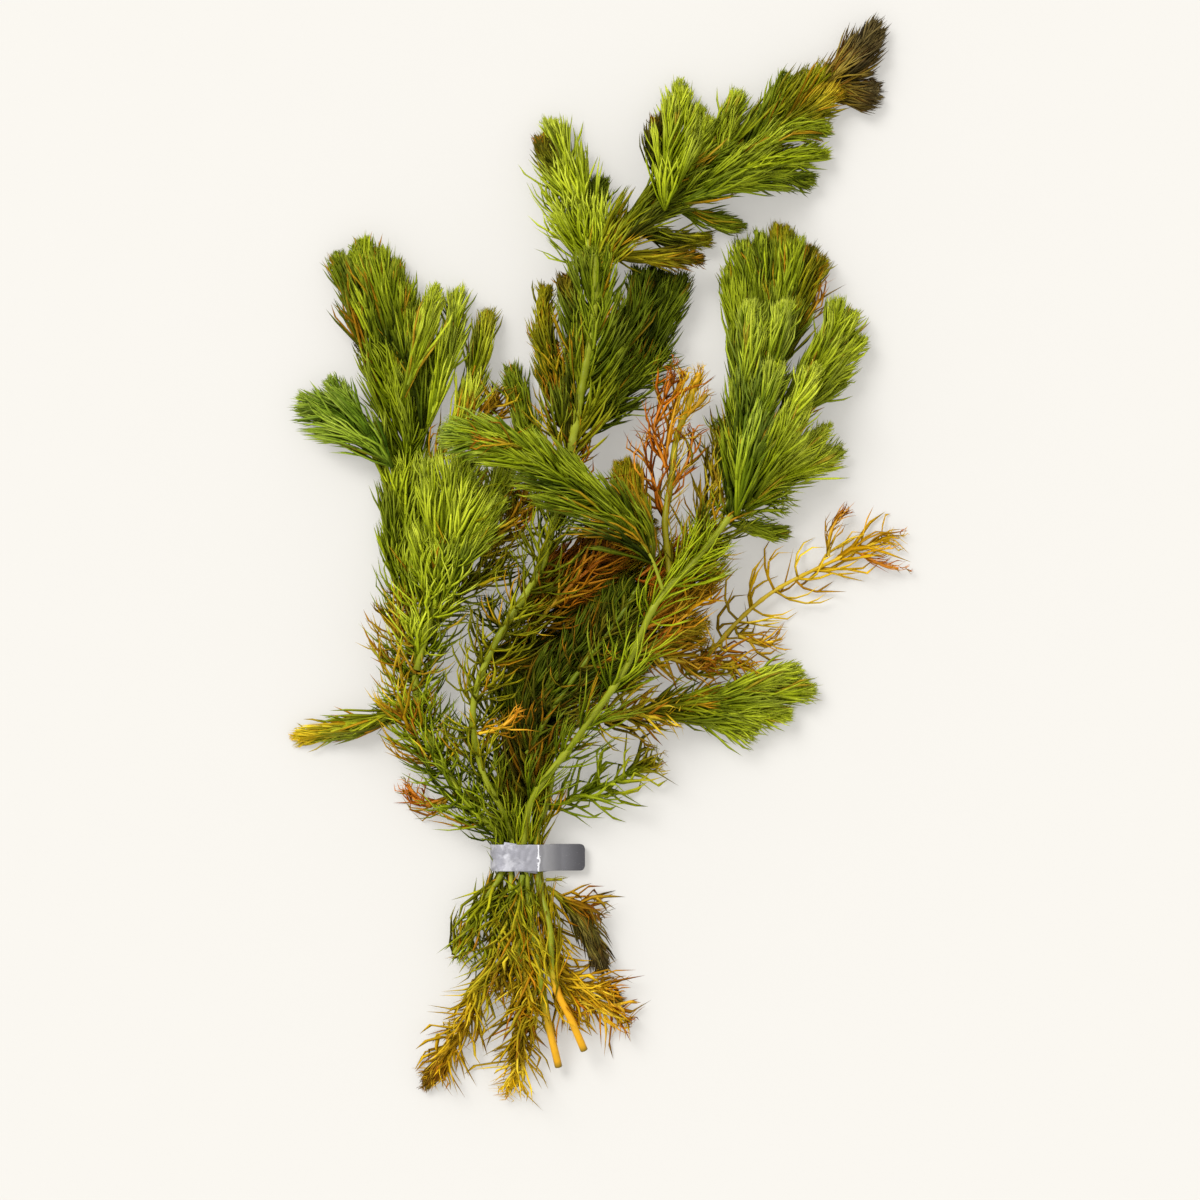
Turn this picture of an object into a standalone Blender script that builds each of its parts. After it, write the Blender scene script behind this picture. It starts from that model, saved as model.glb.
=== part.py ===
"""A bunch of cut hornwort, tied low down with a flat strip of lead and lying on a flat surface.

Each stem, sprig and tuft is one closed body: a stem with its whorls of leaves fused to it. The origin is
under the middle of the lead strip, +Y runs up the bunch to its tips, +X is to the right seen from above,
and +Z is up. Every place and size below is in millimetres and is made metres by MM.
"""

import math
import random
from dataclasses import dataclass

import bmesh
import bpy
import numpy as np

MM = 0.001

# Stems: the radius of a bare stem and of the finest tip, in millimetres
STEM_RADIUS = 0.95
TIP_RADIUS = 0.35

# A stem thins over its last part: how thin it ends, as a share, and how quickly it thins
END_TAPER = 0.45
TAPER_RATE = 3.0
LAST_RING = 0.985

# Leaves: a whorl that reaches less than this many millimetres is left off, and the shortest leaf of a whorl
LEAST_LEAF = 1.5
SHORTEST_LEAF = 0.82

# Where the gap between two leaves starts, as a share of the way to the next whorl, and the foot of a
# bare stem's leaf
VALLEY = 0.45
LEAF_ROOT = 0.3

# Middle lines: the least bare foot worth a ring, how near a whorl a place counts as its own, and the sampling
LEAST_BARE = 0.02
NEAR_WHORL = 0.45
HEADING_STEP = 0.01
SAMPLES_PER_SPAN = 12

# Edges of a sprig that meet at more than this stay sharp
SHARP_ANGLE = math.radians(62)

# Lead strip: its width, its thickness, its left side, the end of its tail and its height over the stems
STRIP_WIDTH = 6.6
STRIP_THICKNESS = 1.0
STRIP_LEFT = -7.1
STRIP_TAIL_END = 16.5
STRIP_CROWN = 7.0

# The upper run comes down to the lower one between these two places, and its tail lies this far above it
STRIP_PINCH_START = 5.3
STRIP_PINCH_END = 9.2
STRIP_SHOULDER_RUN = 0.6
STRIP_SHOULDER_DROP = 0.25
STRIP_KNEE_RUN = 0.9
STRIP_KNEE_RISE = 0.5
STRIP_TAIL_GAP = 0.3
STRIP_TAIL_SHORT = 0.3

# The rounded corners at the strip's ends and the steps of its bend round the left of the stems
STRIP_CORNER = 0.9
STRIP_CORNER_STEPS = 2
STRIP_BEND_STEPS = 9

# The lower run lies a little askew: up the stems at the left, down them at the right
STRIP_ASKEW = 1.2
STRIP_ASKEW_PLACES = (-4.5, 2.5, 5.5, 8.0)
STRIP_ASKEW_SHARES = (1.0, 0.0, -0.5, 0.0)

COLOURS = {
    "bright_leaf": (0.20, 0.33, 0.03),
    "mid_leaf": (0.10, 0.19, 0.02),
    "deep_leaf": (0.035, 0.075, 0.01),
    "olive_leaf": (0.16, 0.15, 0.015),
    "yellow_leaf": (0.60, 0.36, 0.02),
    "rusty_leaf": (0.38, 0.16, 0.02),
    "withered_leaf": (0.10, 0.065, 0.025),
    "green_stem": (0.27, 0.36, 0.05),
    "lead": (0.33, 0.33, 0.35),
}


@dataclass
class Sprig:
    """A stem with whorls of leaves. Each place is x, y, z and how far the leaves reach to the side there.

    Sweep is how many whorls ahead a leaf's tip lies, flatness its height as a share of its reach to the side,
    fullness the packed heart as a share of that reach, and bare the share of the stem below its first whorl.
    """

    name: str
    material: str
    places: list
    whorls: int = 6
    leaves: int = 4
    sweep: float = 1.5
    flatness: float = 0.42
    fullness: float = 0.5
    bare: float = 0.08


RIGHT_PLANT = [
    Sprig("right_stem", "green_stem", [
        (9.8, -52.3, 3.0, 0.9), (7.5, -42, 6.4, 0.9), (5.0, -26, 9.2, 3.0), (1.8, -7, 5.4, 0.9),
        (1.2, 0, 4.7, 0.8), (1.5, 6, 5.2, 0.9), (2.9, 13, 8.0, 0.9), (14.5, 30, 14.5, 8.0),
        (26.5, 47.2, 19.0, 10.0), (36.0, 66.2, 20.5, 8.0), (43.2, 73.5, 18.5, 8.0), (53.0, 85.2, 14.5, 6.0)],
        whorls=13, sweep=0.6, flatness=0.34, fullness=0.0, bare=0.04),
    Sprig("crossing_sprig", "bright_leaf", [
        (34.6, 68.4, 22.6, 0.9), (32.0, 76.2, 23.2, 5.0), (25.5, 83.5, 23.0, 8.5), (18.2, 88.8, 22.6, 10.5),
        (8.8, 95.2, 22.2, 10.0), (-3.2, 103.5, 21.8, 7.5), (-12.2, 106.8, 21.0, 6.5),
        (-19.5, 105, 20.0, 3.0)],
        whorls=8, flatness=0.36),
    Sprig("olive_lobe", "olive_leaf", [
        (32.2, 75.6, 20.2, 0.9), (30.5, 82, 15.8, 4.0), (28.2, 89.2, 13.2, 5.5), (25.8, 98.5, 10.8, 4.0)],
        whorls=4, leaves=3, sweep=1.3, fullness=0.6),
    Sprig("right_top_tuft", "mid_leaf", [
        (53.7, 86.7, 13.0, 0.9), (56.5, 99.2, 8.0, 7.5), (59.0, 114.2, 5.2, 10.5), (62.2, 129.2, 4.6, 12.5),
        (64.8, 141.8, 4.4, 12.5), (66.2, 151.8, 3.7, 10.0), (66.2, 158.0, 2.6, 4.2)],
        whorls=8, flatness=0.34),
    Sprig("right_front_tuft", "bright_leaf", [
        (54.8, 87.4, 15.8, 0.9), (57.2, 106.8, 15.0, 7.0), (58.2, 121.8, 14.4, 7.8),
        (60.2, 138.5, 13.2, 3.6)],
        whorls=6),
    Sprig("right_side_tuft", "bright_leaf", [
        (64.4, 107.0, 11.6, 0.9), (70.2, 118.0, 10.8, 6.0), (77.8, 126.8, 7.6, 8.5),
        (85.2, 134.2, 2.9, 5.0)],
        whorls=5, leaves=3),
    Sprig("right_fan", "bright_leaf", [
        (62.2, 101.0, 14.6, 0.9), (69.4, 111.0, 16.4, 4.6), (75.0, 122.2, 16.2, 3.4)],
        whorls=4, leaves=3),
    Sprig("right_lower_tuft", "bright_leaf", [
        (59.6, 90.2, 12.4, 0.9), (67.8, 98.2, 8.6, 6.2), (76.0, 101.8, 4.6, 7.5), (82.0, 103.5, 2.4, 4.5)],
        whorls=5, leaves=3),
    Sprig("right_low_sprig", "deep_leaf", [
        (55.0, 83.8, 12.6, 0.8), (60.2, 81.8, 7.6, 3.4), (67.4, 81.0, 3.0, 2.2)],
        whorls=4, leaves=3),
    Sprig("bare_cut_stem", "yellow_leaf", [
        (37.4, 70.8, 17.6, 0.9), (36.4, 84.2, 14.6, 2.6), (38.2, 94.8, 12.0, 3.0), (39.2, 104.0, 11.0, 3.0),
        (42.2, 113.0, 10.3, 3.6), (45.8, 123.5, 9.0, 0.9)],
        whorls=7, leaves=3, sweep=0.8, flatness=0.5, fullness=0.0),
    Sprig("rusty_curled_leaf", "rusty_leaf", [
        (36.5, 97.0, 12.8, 0.8), (33.6, 106.8, 13.0, 2.0), (36.4, 115.0, 12.0, 2.2),
        (39.0, 123.8, 11.0, 0.9)],
        whorls=4, leaves=3, sweep=1.3),
    Sprig("rusty_sprig", "rusty_leaf", [
        (36.2, 61.2, 17.2, 0.9), (42.0, 66.5, 10.5, 6.0), (47.0, 74.2, 7.4, 8.0), (50.6, 81.4, 5.0, 4.5)],
        whorls=5, leaves=3),
]

SIDE_PLANT = [
    Sprig("straggly_sprig", "yellow_leaf", [
        (41.6, 46.2, 5.8, 0.8), (48.0, 51.4, 4.2, 3.0), (52.5, 56.8, 3.6, 3.4), (61.5, 64.8, 3.4, 5.0),
        (75.0, 72.5, 2.9, 5.6), (83.8, 76.5, 2.4, 4.2), (90.5, 79.0, 2.0, 3.0), (96.4, 81.0, 1.5, 1.6)],
        whorls=9, leaves=3, sweep=1.1, fullness=0.15),
    Sprig("straggly_side_branch", "yellow_leaf", [
        (54.8, 55.2, 4.4, 0.7), (59.2, 53.6, 4.0, 2.8), (68.4, 55.6, 2.6, 1.6)],
        whorls=4, leaves=3, sweep=1.1, fullness=0.15),
    Sprig("straggly_up_twig", "yellow_leaf", [
        (77.1, 76.2, 4.8, 0.6), (77.6, 81.0, 5.0, 2.0), (79.8, 85.0, 3.6, 1.8), (83.2, 88.4, 2.0, 0.8)],
        whorls=3, leaves=3, sweep=1.2, fullness=0.1),
    Sprig("straggly_curled_fork", "rusty_leaf", [
        (86.4, 74.0, 5.2, 0.6), (91.5, 72.6, 3.6, 2.0), (97.6, 72.2, 2.0, 1.4)],
        whorls=3, leaves=3, fullness=0.1),
    Sprig("lower_right_sprig", "bright_leaf", [
        (19.8, 34.4, 13.8, 0.9), (30.2, 37.6, 9.2, 6.5), (40.2, 38.0, 6.6, 8.0), (50.2, 38.2, 5.0, 8.4),
        (60.2, 39.8, 3.6, 8.0), (74.6, 43.2, 2.3, 4.2)],
        whorls=8, leaves=3),
    Sprig("thin_stem", "green_stem", [
        (16.2, -48.0, 6.4, 0.9), (12.8, -39.8, 8.8, 0.9), (9.2, -31.8, 9.6, 0.9), (7.8, -17, 8.6, 2.6),
        (4.9, -6.0, 4.8, 0.8), (4.2, 0, 4.3, 0.8), (4.6, 6, 4.7, 0.8), (7.4, 14, 7.0, 1.6),
        (8.6, 20.5, 8.4, 4.0)],
        whorls=7, leaves=3, sweep=0.7, fullness=0.0, bare=0.16),
    Sprig("low_twig", "mid_leaf", [
        (9.3, 13.6, 6.3, 0.8), (14.6, 15.0, 5.6, 2.6), (23.0, 18.8, 4.4, 5.0), (30.2, 22.6, 3.6, 5.5),
        (36.6, 25.6, 2.6, 2.6)],
        whorls=5, leaves=3, sweep=1.0, fullness=0.1),
]

MIDDLE_PLANT = [
    Sprig("middle_stem", "green_stem", [
        (2.6, -34, 6.8, 0.9), (-0.8, -19, 9.2, 3.6), (-1.8, -6, 5.0, 0.9), (-1.9, 0, 4.7, 0.8),
        (-2.0, 5.5, 5.0, 0.9), (-3.6, 10.5, 6.8, 2.4), (-9.0, 21.8, 10.4, 6.5), (-10.8, 40.5, 12.4, 9.0),
        (-7.2, 50.8, 13.0, 9.0), (1.5, 65.2, 13.4, 9.0), (6.0, 73.0, 13.4, 9.5), (8.8, 84.0, 13.4, 9.5),
        (13.0, 102.5, 13.4, 8.0)],
        whorls=13, sweep=1.1, flatness=0.34, fullness=0.0, bare=0.11),
    Sprig("middle_upper_stem", "deep_leaf", [
        (13.1, 103.2, 13.4, 0.95), (15.2, 114, 13.6, 11.0), (17.4, 126.0, 13.6, 13.5),
        (18.8, 136.0, 13.4, 12.5), (18.8, 147.0, 12.8, 7.0)],
        whorls=6, sweep=1.3, flatness=0.34, fullness=0.4, bare=0.02),
    Sprig("upper_left_tuft", "bright_leaf", [
        (18.0, 148.7, 12.2, 0.9), (16.2, 158.0, 10.2, 8.0), (13.2, 168.0, 7.8, 11.0),
        (10.2, 176.8, 4.2, 9.5),
        (7.6, 185.0, 2.2, 3.6)],
        whorls=7, sweep=1.3, flatness=0.36, fullness=0.35),
    Sprig("long_spray", "mid_leaf", [
        (20.5, 148.9, 12.6, 0.9), (26.5, 156.2, 11.0, 5.0), (34.0, 163.0, 9.0, 7.5), (42.8, 169.2, 6.8, 9.5),
        (54.0, 175.5, 5.4, 11.5), (65.2, 183.0, 4.4, 13.0), (73.0, 188.6, 3.8, 10.5),
        (77.2, 191.8, 3.4, 7.5)],
        whorls=10, flatness=0.34),
    Sprig("withered_tip", "withered_leaf", [
        (78.0, 193.2, 3.4, 1.6), (82.6, 198.6, 3.2, 5.6), (87.2, 203.0, 3.0, 5.4), (91.0, 208.8, 2.4, 2.6)],
        whorls=4, fullness=0.65, bare=0.02),
    Sprig("withered_lobe", "withered_leaf", [
        (79.6, 190.7, 3.2, 1.6), (85.6, 190.2, 2.8, 4.4), (91.6, 189.8, 2.2, 3.0)],
        whorls=3, fullness=0.65, bare=0.02),
    Sprig("spray_lower_lobe", "mid_leaf", [
        (47.0, 164.6, 10.8, 0.9), (57.0, 167.4, 10.8, 4.6), (67.0, 168.0, 6.2, 5.4),
        (74.4, 167.8, 2.2, 2.8)],
        whorls=5, leaves=3),
    Sprig("spray_side_sprig", "bright_leaf", [
        (36.8, 166.0, 12.6, 0.9), (37.6, 174.0, 11.8, 6.0), (39.0, 184.0, 6.6, 7.6),
        (40.6, 193.4, 2.4, 4.4)],
        whorls=6, leaves=3, fullness=0.35),
    Sprig("spray_small_sprig", "mid_leaf", [
        (42.0, 161.4, 5.4, 0.8), (48.6, 159.2, 4.0, 3.2), (56.4, 157.6, 2.4, 1.2)],
        whorls=3, leaves=3),
    Sprig("olive_small_sprig", "olive_leaf", [
        (31.0, 156.8, 8.2, 0.8), (38.0, 154.0, 4.6, 3.4), (48.2, 154.0, 2.6, 1.6)],
        whorls=4, leaves=3),
    Sprig("thin_sprig", "olive_leaf", [
        (25.0, 150.6, 10.6, 0.7), (36.0, 149.4, 10.0, 2.0), (46.4, 149.2, 8.4, 0.9)],
        whorls=4, leaves=3),
    Sprig("deep_right_sprig", "deep_leaf", [
        (14.9, 106.4, 10.7, 0.9), (23.0, 114.2, 5.4, 5.5), (30.2, 123.0, 4.2, 8.5), (36.5, 133.0, 4.2, 9.0),
        (41.2, 142.0, 3.8, 7.0), (43.2, 147.4, 3.4, 3.6)],
        whorls=7, sweep=1.3, flatness=0.36),
    Sprig("narrow_sprig", "mid_leaf", [
        (10.2, 97.4, 11.2, 0.8), (3.0, 104.2, 8.0, 2.8), (0.2, 114.2, 5.0, 3.4), (-2.6, 123.2, 2.6, 1.6)],
        whorls=5, leaves=3),
]

LEFT_PLANT = [
    Sprig("left_stem", "green_stem", [
        (-16.2, -24, 2.8, 3.0), (-12.0, -15.5, 4.0, 3.8), (-7.6, -9.0, 4.8, 0.9), (-4.3, -4.0, 4.6, 0.8),
        (-4.1, 0, 4.5, 0.8), (-4.4, 5.0, 4.6, 0.8), (-11.6, 12.0, 6.2, 3.0), (-17.6, 20.8, 7.0, 6.5),
        (-22.0, 30.0, 7.4, 8.5), (-24.6, 36.5, 7.4, 8.5), (-25.6, 43.0, 7.4, 7.5), (-25.4, 48.5, 7.6, 4.0)],
        whorls=10, sweep=0.8, flatness=0.34, fullness=0.0),
    Sprig("left_front_tuft", "bright_leaf", [
        (-25.0, 49.9, 9.0, 0.9), (-22.0, 58.2, 12.4, 7.0), (-19.5, 66.2, 13.4, 9.0),
        (-17.6, 75.0, 13.8, 10.0),
        (-15.6, 85.0, 13.8, 11.0), (-13.8, 93.0, 13.4, 11.5), (-12.4, 100.0, 12.8, 8.0)],
        whorls=8, sweep=1.4, flatness=0.3, fullness=0.3),
    Sprig("left_back_tuft", "mid_leaf", [
        (-26.2, 50.0, 6.2, 0.9), (-28.5, 59.2, 4.6, 6.0), (-29.8, 71.8, 4.4, 7.0), (-31.0, 84.2, 4.4, 7.0),
        (-31.5, 94.2, 4.4, 8.5), (-30.4, 106.8, 4.2, 10.5), (-31.0, 116.8, 4.3, 12.0),
        (-33.8, 129.2, 4.2, 12.0),
        (-38.5, 141.8, 3.6, 10.0), (-42.2, 151.8, 2.8, 5.0)],
        whorls=11, flatness=0.34),
    Sprig("left_side_tuft", "deep_leaf", [
        (-36.6, 102.4, 10.0, 0.9), (-41.8, 109.6, 8.6, 5.0), (-47.6, 113.4, 4.4, 6.4),
        (-55.0, 115.4, 2.3, 4.0)],
        whorls=5, leaves=3, fullness=0.55),
    Sprig("left_inner_lobe", "mid_leaf", [
        (-27.6, 119.6, 10.2, 0.9), (-23.0, 131.8, 8.6, 4.8), (-20.4, 142.8, 3.4, 2.8)],
        whorls=5, leaves=3),
    Sprig("left_middle_lobe", "olive_leaf", [
        (-21.2, 112.6, 9.4, 0.9), (-17.2, 127.0, 6.0, 4.0), (-14.8, 141.8, 2.0, 2.4)],
        whorls=5, leaves=3),
    Sprig("left_outer_lobe", "olive_leaf", [
        (-22.6, 99.2, 6.4, 0.9), (-15.0, 109.6, 6.0, 3.4), (-10.8, 122.0, 4.0, 3.8),
        (-7.0, 137.2, 1.8, 2.2)],
        whorls=6, leaves=3, fullness=0.35),
    Sprig("yellow_tip_sprig", "bright_leaf", [
        (-27.4, 38.2, 4.8, 0.8), (-33.4, 34.2, 4.4, 3.0), (-39.8, 32.4, 2.8, 4.0), (-48.5, 31.2, 2.0, 3.4),
        (-56.8, 30.0, 1.1, 1.2)],
        whorls=6, leaves=3, fullness=0.55),
    Sprig("curled_leaf", "rusty_leaf", [
        (-17.4, 14.6, 5.6, 0.7), (-23.2, 12.6, 3.8, 1.8), (-26.8, 16.6, 2.6, 1.8), (-29.8, 20.4, 1.8, 0.7)],
        whorls=3, leaves=3, sweep=1.1),
]

HEART = [
    Sprig("heart_sprig", "deep_leaf", [
        (3.6, -9.0, 2.6, 0.9), (2.9, -4, 2.3, 0.9), (2.8, 0, 2.3, 0.8), (3.1, 5, 2.6, 0.9),
        (5.0, 14, 5.0, 0.9), (3.4, 36.0, 9.8, 5.0), (10.5, 43.8, 11.4, 7.0), (16.8, 50.5, 11.8, 8.5),
        (22.8, 59.2, 11.8, 8.5), (30.0, 69.2, 11.0, 4.5)],
        whorls=8, leaves=3, sweep=1.3, flatness=0.32, fullness=0.3, bare=0.3),
    Sprig("heart_low_sprig", "deep_leaf", [
        (-6.0, 49.8, 10.8, 0.9), (2.8, 50.6, 5.8, 5.0), (10.2, 54.2, 4.2, 8.0), (20.0, 58.0, 4.0, 9.0),
        (31.0, 62.0, 3.6, 5.5)],
        whorls=6, leaves=3, sweep=1.3, flatness=0.34),
    Sprig("heart_high_sprig", "rusty_leaf", [
        (1.4, 61.8, 9.6, 0.9), (8.0, 67.8, 5.8, 5.5), (17.8, 74.2, 4.2, 9.0), (27.8, 80.6, 4.2, 9.0),
        (34.0, 86.0, 3.6, 5.0)],
        whorls=6, leaves=3, flatness=0.34),
    Sprig("low_tuft", "deep_leaf", [
        (0.5, -8.0, 2.5, 0.9), (0.5, 0, 2.3, 0.8), (0.4, 5, 2.5, 0.9), (-0.6, 14, 3.2, 4.6),
        (0.4, 24.0, 4.0, 7.5), (4.0, 34.0, 3.8, 4.0)],
        whorls=5, leaves=3, flatness=0.4, bare=0.3),
]

FOOT = [
    Sprig("left_foot_sprig", "olive_leaf", [
        (-4.2, 8.0, 2.4, 0.9), (-4.3, 3.5, 2.3, 0.8), (-4.4, -4, 2.3, 0.8), (-6.0, -18.8, 3.2, 4.0),
        (-9.4, -32.2, 3.6, 6.2), (-12.2, -40.2, 3.4, 5.4), (-17.2, -47.6, 2.4, 4.4),
        (-23.6, -57.6, 1.6, 2.4)],
        whorls=9, leaves=3, sweep=1.2, fullness=0.3, bare=0.2),
    Sprig("middle_foot_sprig", "yellow_leaf", [
        (-1.9, 5.8, 2.3, 0.8), (-1.9, 0, 2.3, 0.8), (-1.6, -6, 2.3, 0.9), (0.6, -20, 2.8, 2.6),
        (1.8, -33, 3.2, 5.6), (1.2, -42, 3.2, 5.6), (-0.4, -51, 2.6, 3.4), (-3.8, -61.0, 1.4, 1.0)],
        whorls=8, leaves=3, sweep=1.2, fullness=0.3, bare=0.2),
    Sprig("right_foot_sprig", "yellow_leaf", [
        (5.4, 5.6, 2.1, 0.8), (5.3, 0, 2.1, 0.8), (5.6, -6, 2.2, 0.9), (8.2, -20, 2.8, 2.2),
        (12.6, -31.0, 3.2, 5.0), (19.0, -35.4, 3.2, 6.0), (24.6, -39.6, 2.8, 4.6), (29.8, -42.6, 1.8, 1.6)],
        whorls=8, leaves=3, sweep=1.2, fullness=0.3, bare=0.2),
    Sprig("withered_cone", "withered_leaf", [
        (8.0, -8.8, 5.5, 0.8), (12.0, -12.6, 4.2, 2.6), (15.4, -18.6, 3.6, 3.6), (19.0, -24.2, 3.2, 3.6),
        (21.8, -29.4, 2.6, 1.6)],
        whorls=5, leaves=3, fullness=0.65),
    Sprig("small_leaf", "yellow_leaf", [
        (6.7, -5.6, 4.7, 0.5), (10.6, -5.6, 4.2, 0.8), (13.6, -5.8, 3.6, 0.4)],
        whorls=2, leaves=3, sweep=1.2, fullness=0.9),
]


def clear_scene():
    """Remove every object of the file's start scene."""
    for item in list(bpy.data.objects):
        bpy.data.objects.remove(item, do_unlink=True)


def make_material(name, colour):
    """Give the part's plain colour: a wet leaf or stem, or dull lead."""
    material = bpy.data.materials.new(name)
    material.use_nodes = True
    shader = material.node_tree.nodes["Principled BSDF"]
    metal = name == "lead"
    shader.inputs["Base Color"].default_value = (*colour, 1.0)
    shader.inputs["Metallic"].default_value = 0.9 if metal else 0.0
    shader.inputs["Roughness"].default_value = 0.45 if metal else 0.35
    material.diffuse_color = (*colour, 1.0)
    return material


def smooth_line(places):
    """Sample a smooth curve through the places, at equal steps of each span."""
    places = np.array(places, dtype=float)
    spans = np.linalg.norm(np.diff(places[:, :3], axis=0), axis=1)
    knots = np.concatenate([[0.0], np.cumsum(spans)])
    slopes = np.gradient(places, knots, axis=0)
    steps = np.linspace(0.0, 1.0, SAMPLES_PER_SPAN, endpoint=False)
    line = []
    for i, span in enumerate(spans):
        for t in steps:
            start = (2 * t**3 - 3 * t**2 + 1) * places[i] + (t**3 - 2 * t**2 + t) * span * slopes[i]
            end = (3 * t**2 - 2 * t**3) * places[i + 1] + (t**3 - t**2) * span * slopes[i + 1]
            line.append(start + end)
    line.append(places[-1])
    return np.array(line), places, knots


class Axis:
    """The smooth middle line of a sprig, read by the share of its length from 0 to 1."""

    def __init__(self, places):
        self.line, marks, knots = smooth_line(places)
        steps = np.linalg.norm(np.diff(self.line[:, :3], axis=0), axis=1)
        self.run = np.concatenate([[0.0], np.cumsum(steps)])
        self.length = self.run[-1]
        self.marks = knots / knots[-1]
        self.reaches = marks[:, 3]

    def point(self, share):
        """The place on the middle line."""
        along = np.clip(share, 0.0, 1.0) * self.length
        return np.array([np.interp(along, self.run, self.line[:, k]) for k in range(3)])

    def reach(self, share):
        """How far leaves reach to the side."""
        return float(np.interp(share, self.marks, self.reaches))

    def frame(self, share):
        """The sideways and upward directions, square to the middle line."""
        ahead = self.point(min(share + HEADING_STEP, 1.0)) - self.point(max(share - HEADING_STEP, 0.0))
        ahead = ahead / np.linalg.norm(ahead)
        side = np.cross(ahead, (0.0, 0.0, 1.0))
        side = side / np.linalg.norm(side)
        return side, np.cross(side, ahead)


def ring_point(axis, sprig, share, turn, radius):
    """A point of the sprig's skin, flattened as a lying tuft is, and never below the surface it lies on."""
    side, up = axis.frame(share)
    height = min(radius, STEM_RADIUS) + max(radius - STEM_RADIUS, 0.0) * sprig.flatness
    place = axis.point(share) + side * math.cos(turn) * radius + up * math.sin(turn) * height
    place[2] = max(place[2], 0.0)
    return place * MM


def core_radius(axis, sprig, share):
    """The stem, or the packed heart of a full tuft, which thins to a fine tip."""
    full = max(STEM_RADIUS, sprig.fullness * axis.reach(share))
    stem = min(full, max(axis.reach(share), TIP_RADIUS))
    return stem * min(1.0, END_TAPER + TAPER_RATE * (1.0 - share))


def sprig_rings(sprig):
    """The sprig's rings from its cut end to its tip: two for each whorl, its foot and its leaf tips."""
    axis = Axis(sprig.places)
    chance = random.Random(sprig.name)
    sides = 2 * sprig.leaves
    pitch = (1.0 - sprig.bare) / (sprig.whorls - 1 + max(sprig.sweep, 1.0))
    turns = [2 * math.pi * (k + 0.5) / sides for k in range(sides)]
    root = VALLEY if sprig.fullness else LEAF_ROOT / 2

    def plain(share):
        radius = core_radius(axis, sprig, share)
        return [ring_point(axis, sprig, share, turn, radius) for turn in turns]

    def leafy(share, tip, first):
        ring = []
        for k, turn in enumerate(turns):
            length = chance.uniform(SHORTEST_LEAF, 1.0)
            if (k + first) % 2:
                valley = share + root * pitch
                ring.append(ring_point(axis, sprig, valley, turn, core_radius(axis, sprig, valley)))
            else:
                ring.append(ring_point(axis, sprig, tip, turn, length * axis.reach(tip)))
        return ring

    rings = [plain(0.0)] + [plain(mark) for mark in axis.marks[1:] if mark < sprig.bare - LEAST_BARE]
    for whorl in range(sprig.whorls):
        share = sprig.bare + whorl * pitch
        tip = min(share + sprig.sweep * pitch, 1.0)
        rings.append(plain(share))
        if min(axis.reach(share), axis.reach(tip)) > LEAST_LEAF or whorl == sprig.whorls - 1:
            rings.append(leafy(share, tip, whorl % 2))
            if sprig.fullness == 0.0:
                rings.append(plain(share + LEAF_ROOT * pitch))
        else:
            near = NEAR_WHORL * pitch
            rings += [plain(mark) for mark in axis.marks if abs(mark - share - pitch / 2) < near]
    rings.append(plain(min(sprig.bare + sprig.whorls * pitch, LAST_RING)))
    return rings


def body_of_rings(name, rings):
    """Skin the rings and close both ends."""
    mesh = bpy.data.meshes.new(name)
    shell = bmesh.new()
    loops = [[shell.verts.new(place) for place in ring] for ring in rings]
    count = len(loops[0])
    for lower, upper in zip(loops, loops[1:]):
        for k in range(count):
            after = (k + 1) % count
            shell.faces.new((lower[k], upper[k], upper[after], lower[after]))
    shell.faces.new(loops[0])
    shell.faces.new(loops[-1][::-1])
    bmesh.ops.triangulate(shell, faces=shell.faces[:])
    shell.to_mesh(mesh)
    shell.free()
    mesh.shade_smooth()
    mesh.set_sharp_from_angle(angle=SHARP_ANGLE)
    return mesh


def make_sprig(sprig, materials, collection):
    """Add one sprig as its own object."""
    mesh = body_of_rings(sprig.name, sprig_rings(sprig))
    mesh.materials.append(materials[sprig.material])
    piece = bpy.data.objects.new(sprig.name, mesh)
    collection.objects.link(piece)
    return piece


def strip_line():
    """The strip's middle line from its edge: under the stems, round the left, over and down to its tail."""
    half = STRIP_THICKNESS / 2
    crown = STRIP_CROWN - half
    bend = (crown - half) / 2
    left = STRIP_LEFT + half + bend
    low = [(STRIP_TAIL_END - STRIP_TAIL_SHORT, half), (STRIP_PINCH_END, half), (STRIP_PINCH_START, half),
           (0.0, half)]
    angles = np.linspace(-math.pi / 2, -1.5 * math.pi, STRIP_BEND_STEPS)
    round_left = [(left + bend * math.cos(a), half + bend + bend * math.sin(a)) for a in angles]
    tail = 3 * half + STRIP_TAIL_GAP
    high = [(0.0, crown), (STRIP_PINCH_START - STRIP_SHOULDER_RUN, crown),
            (STRIP_PINCH_START, crown - STRIP_SHOULDER_DROP),
            (STRIP_PINCH_END - STRIP_KNEE_RUN, tail + STRIP_KNEE_RISE),
            (STRIP_PINCH_END, tail), (STRIP_TAIL_END, tail)]
    return low + round_left + high, len(low) + STRIP_BEND_STEPS // 2


def strip_askew(x, under):
    """How far the strip's lower run lies up or down the stems from its upper run."""
    if not under:
        return 0.0
    return STRIP_ASKEW * float(np.interp(x, STRIP_ASKEW_PLACES, STRIP_ASKEW_SHARES))


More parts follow.
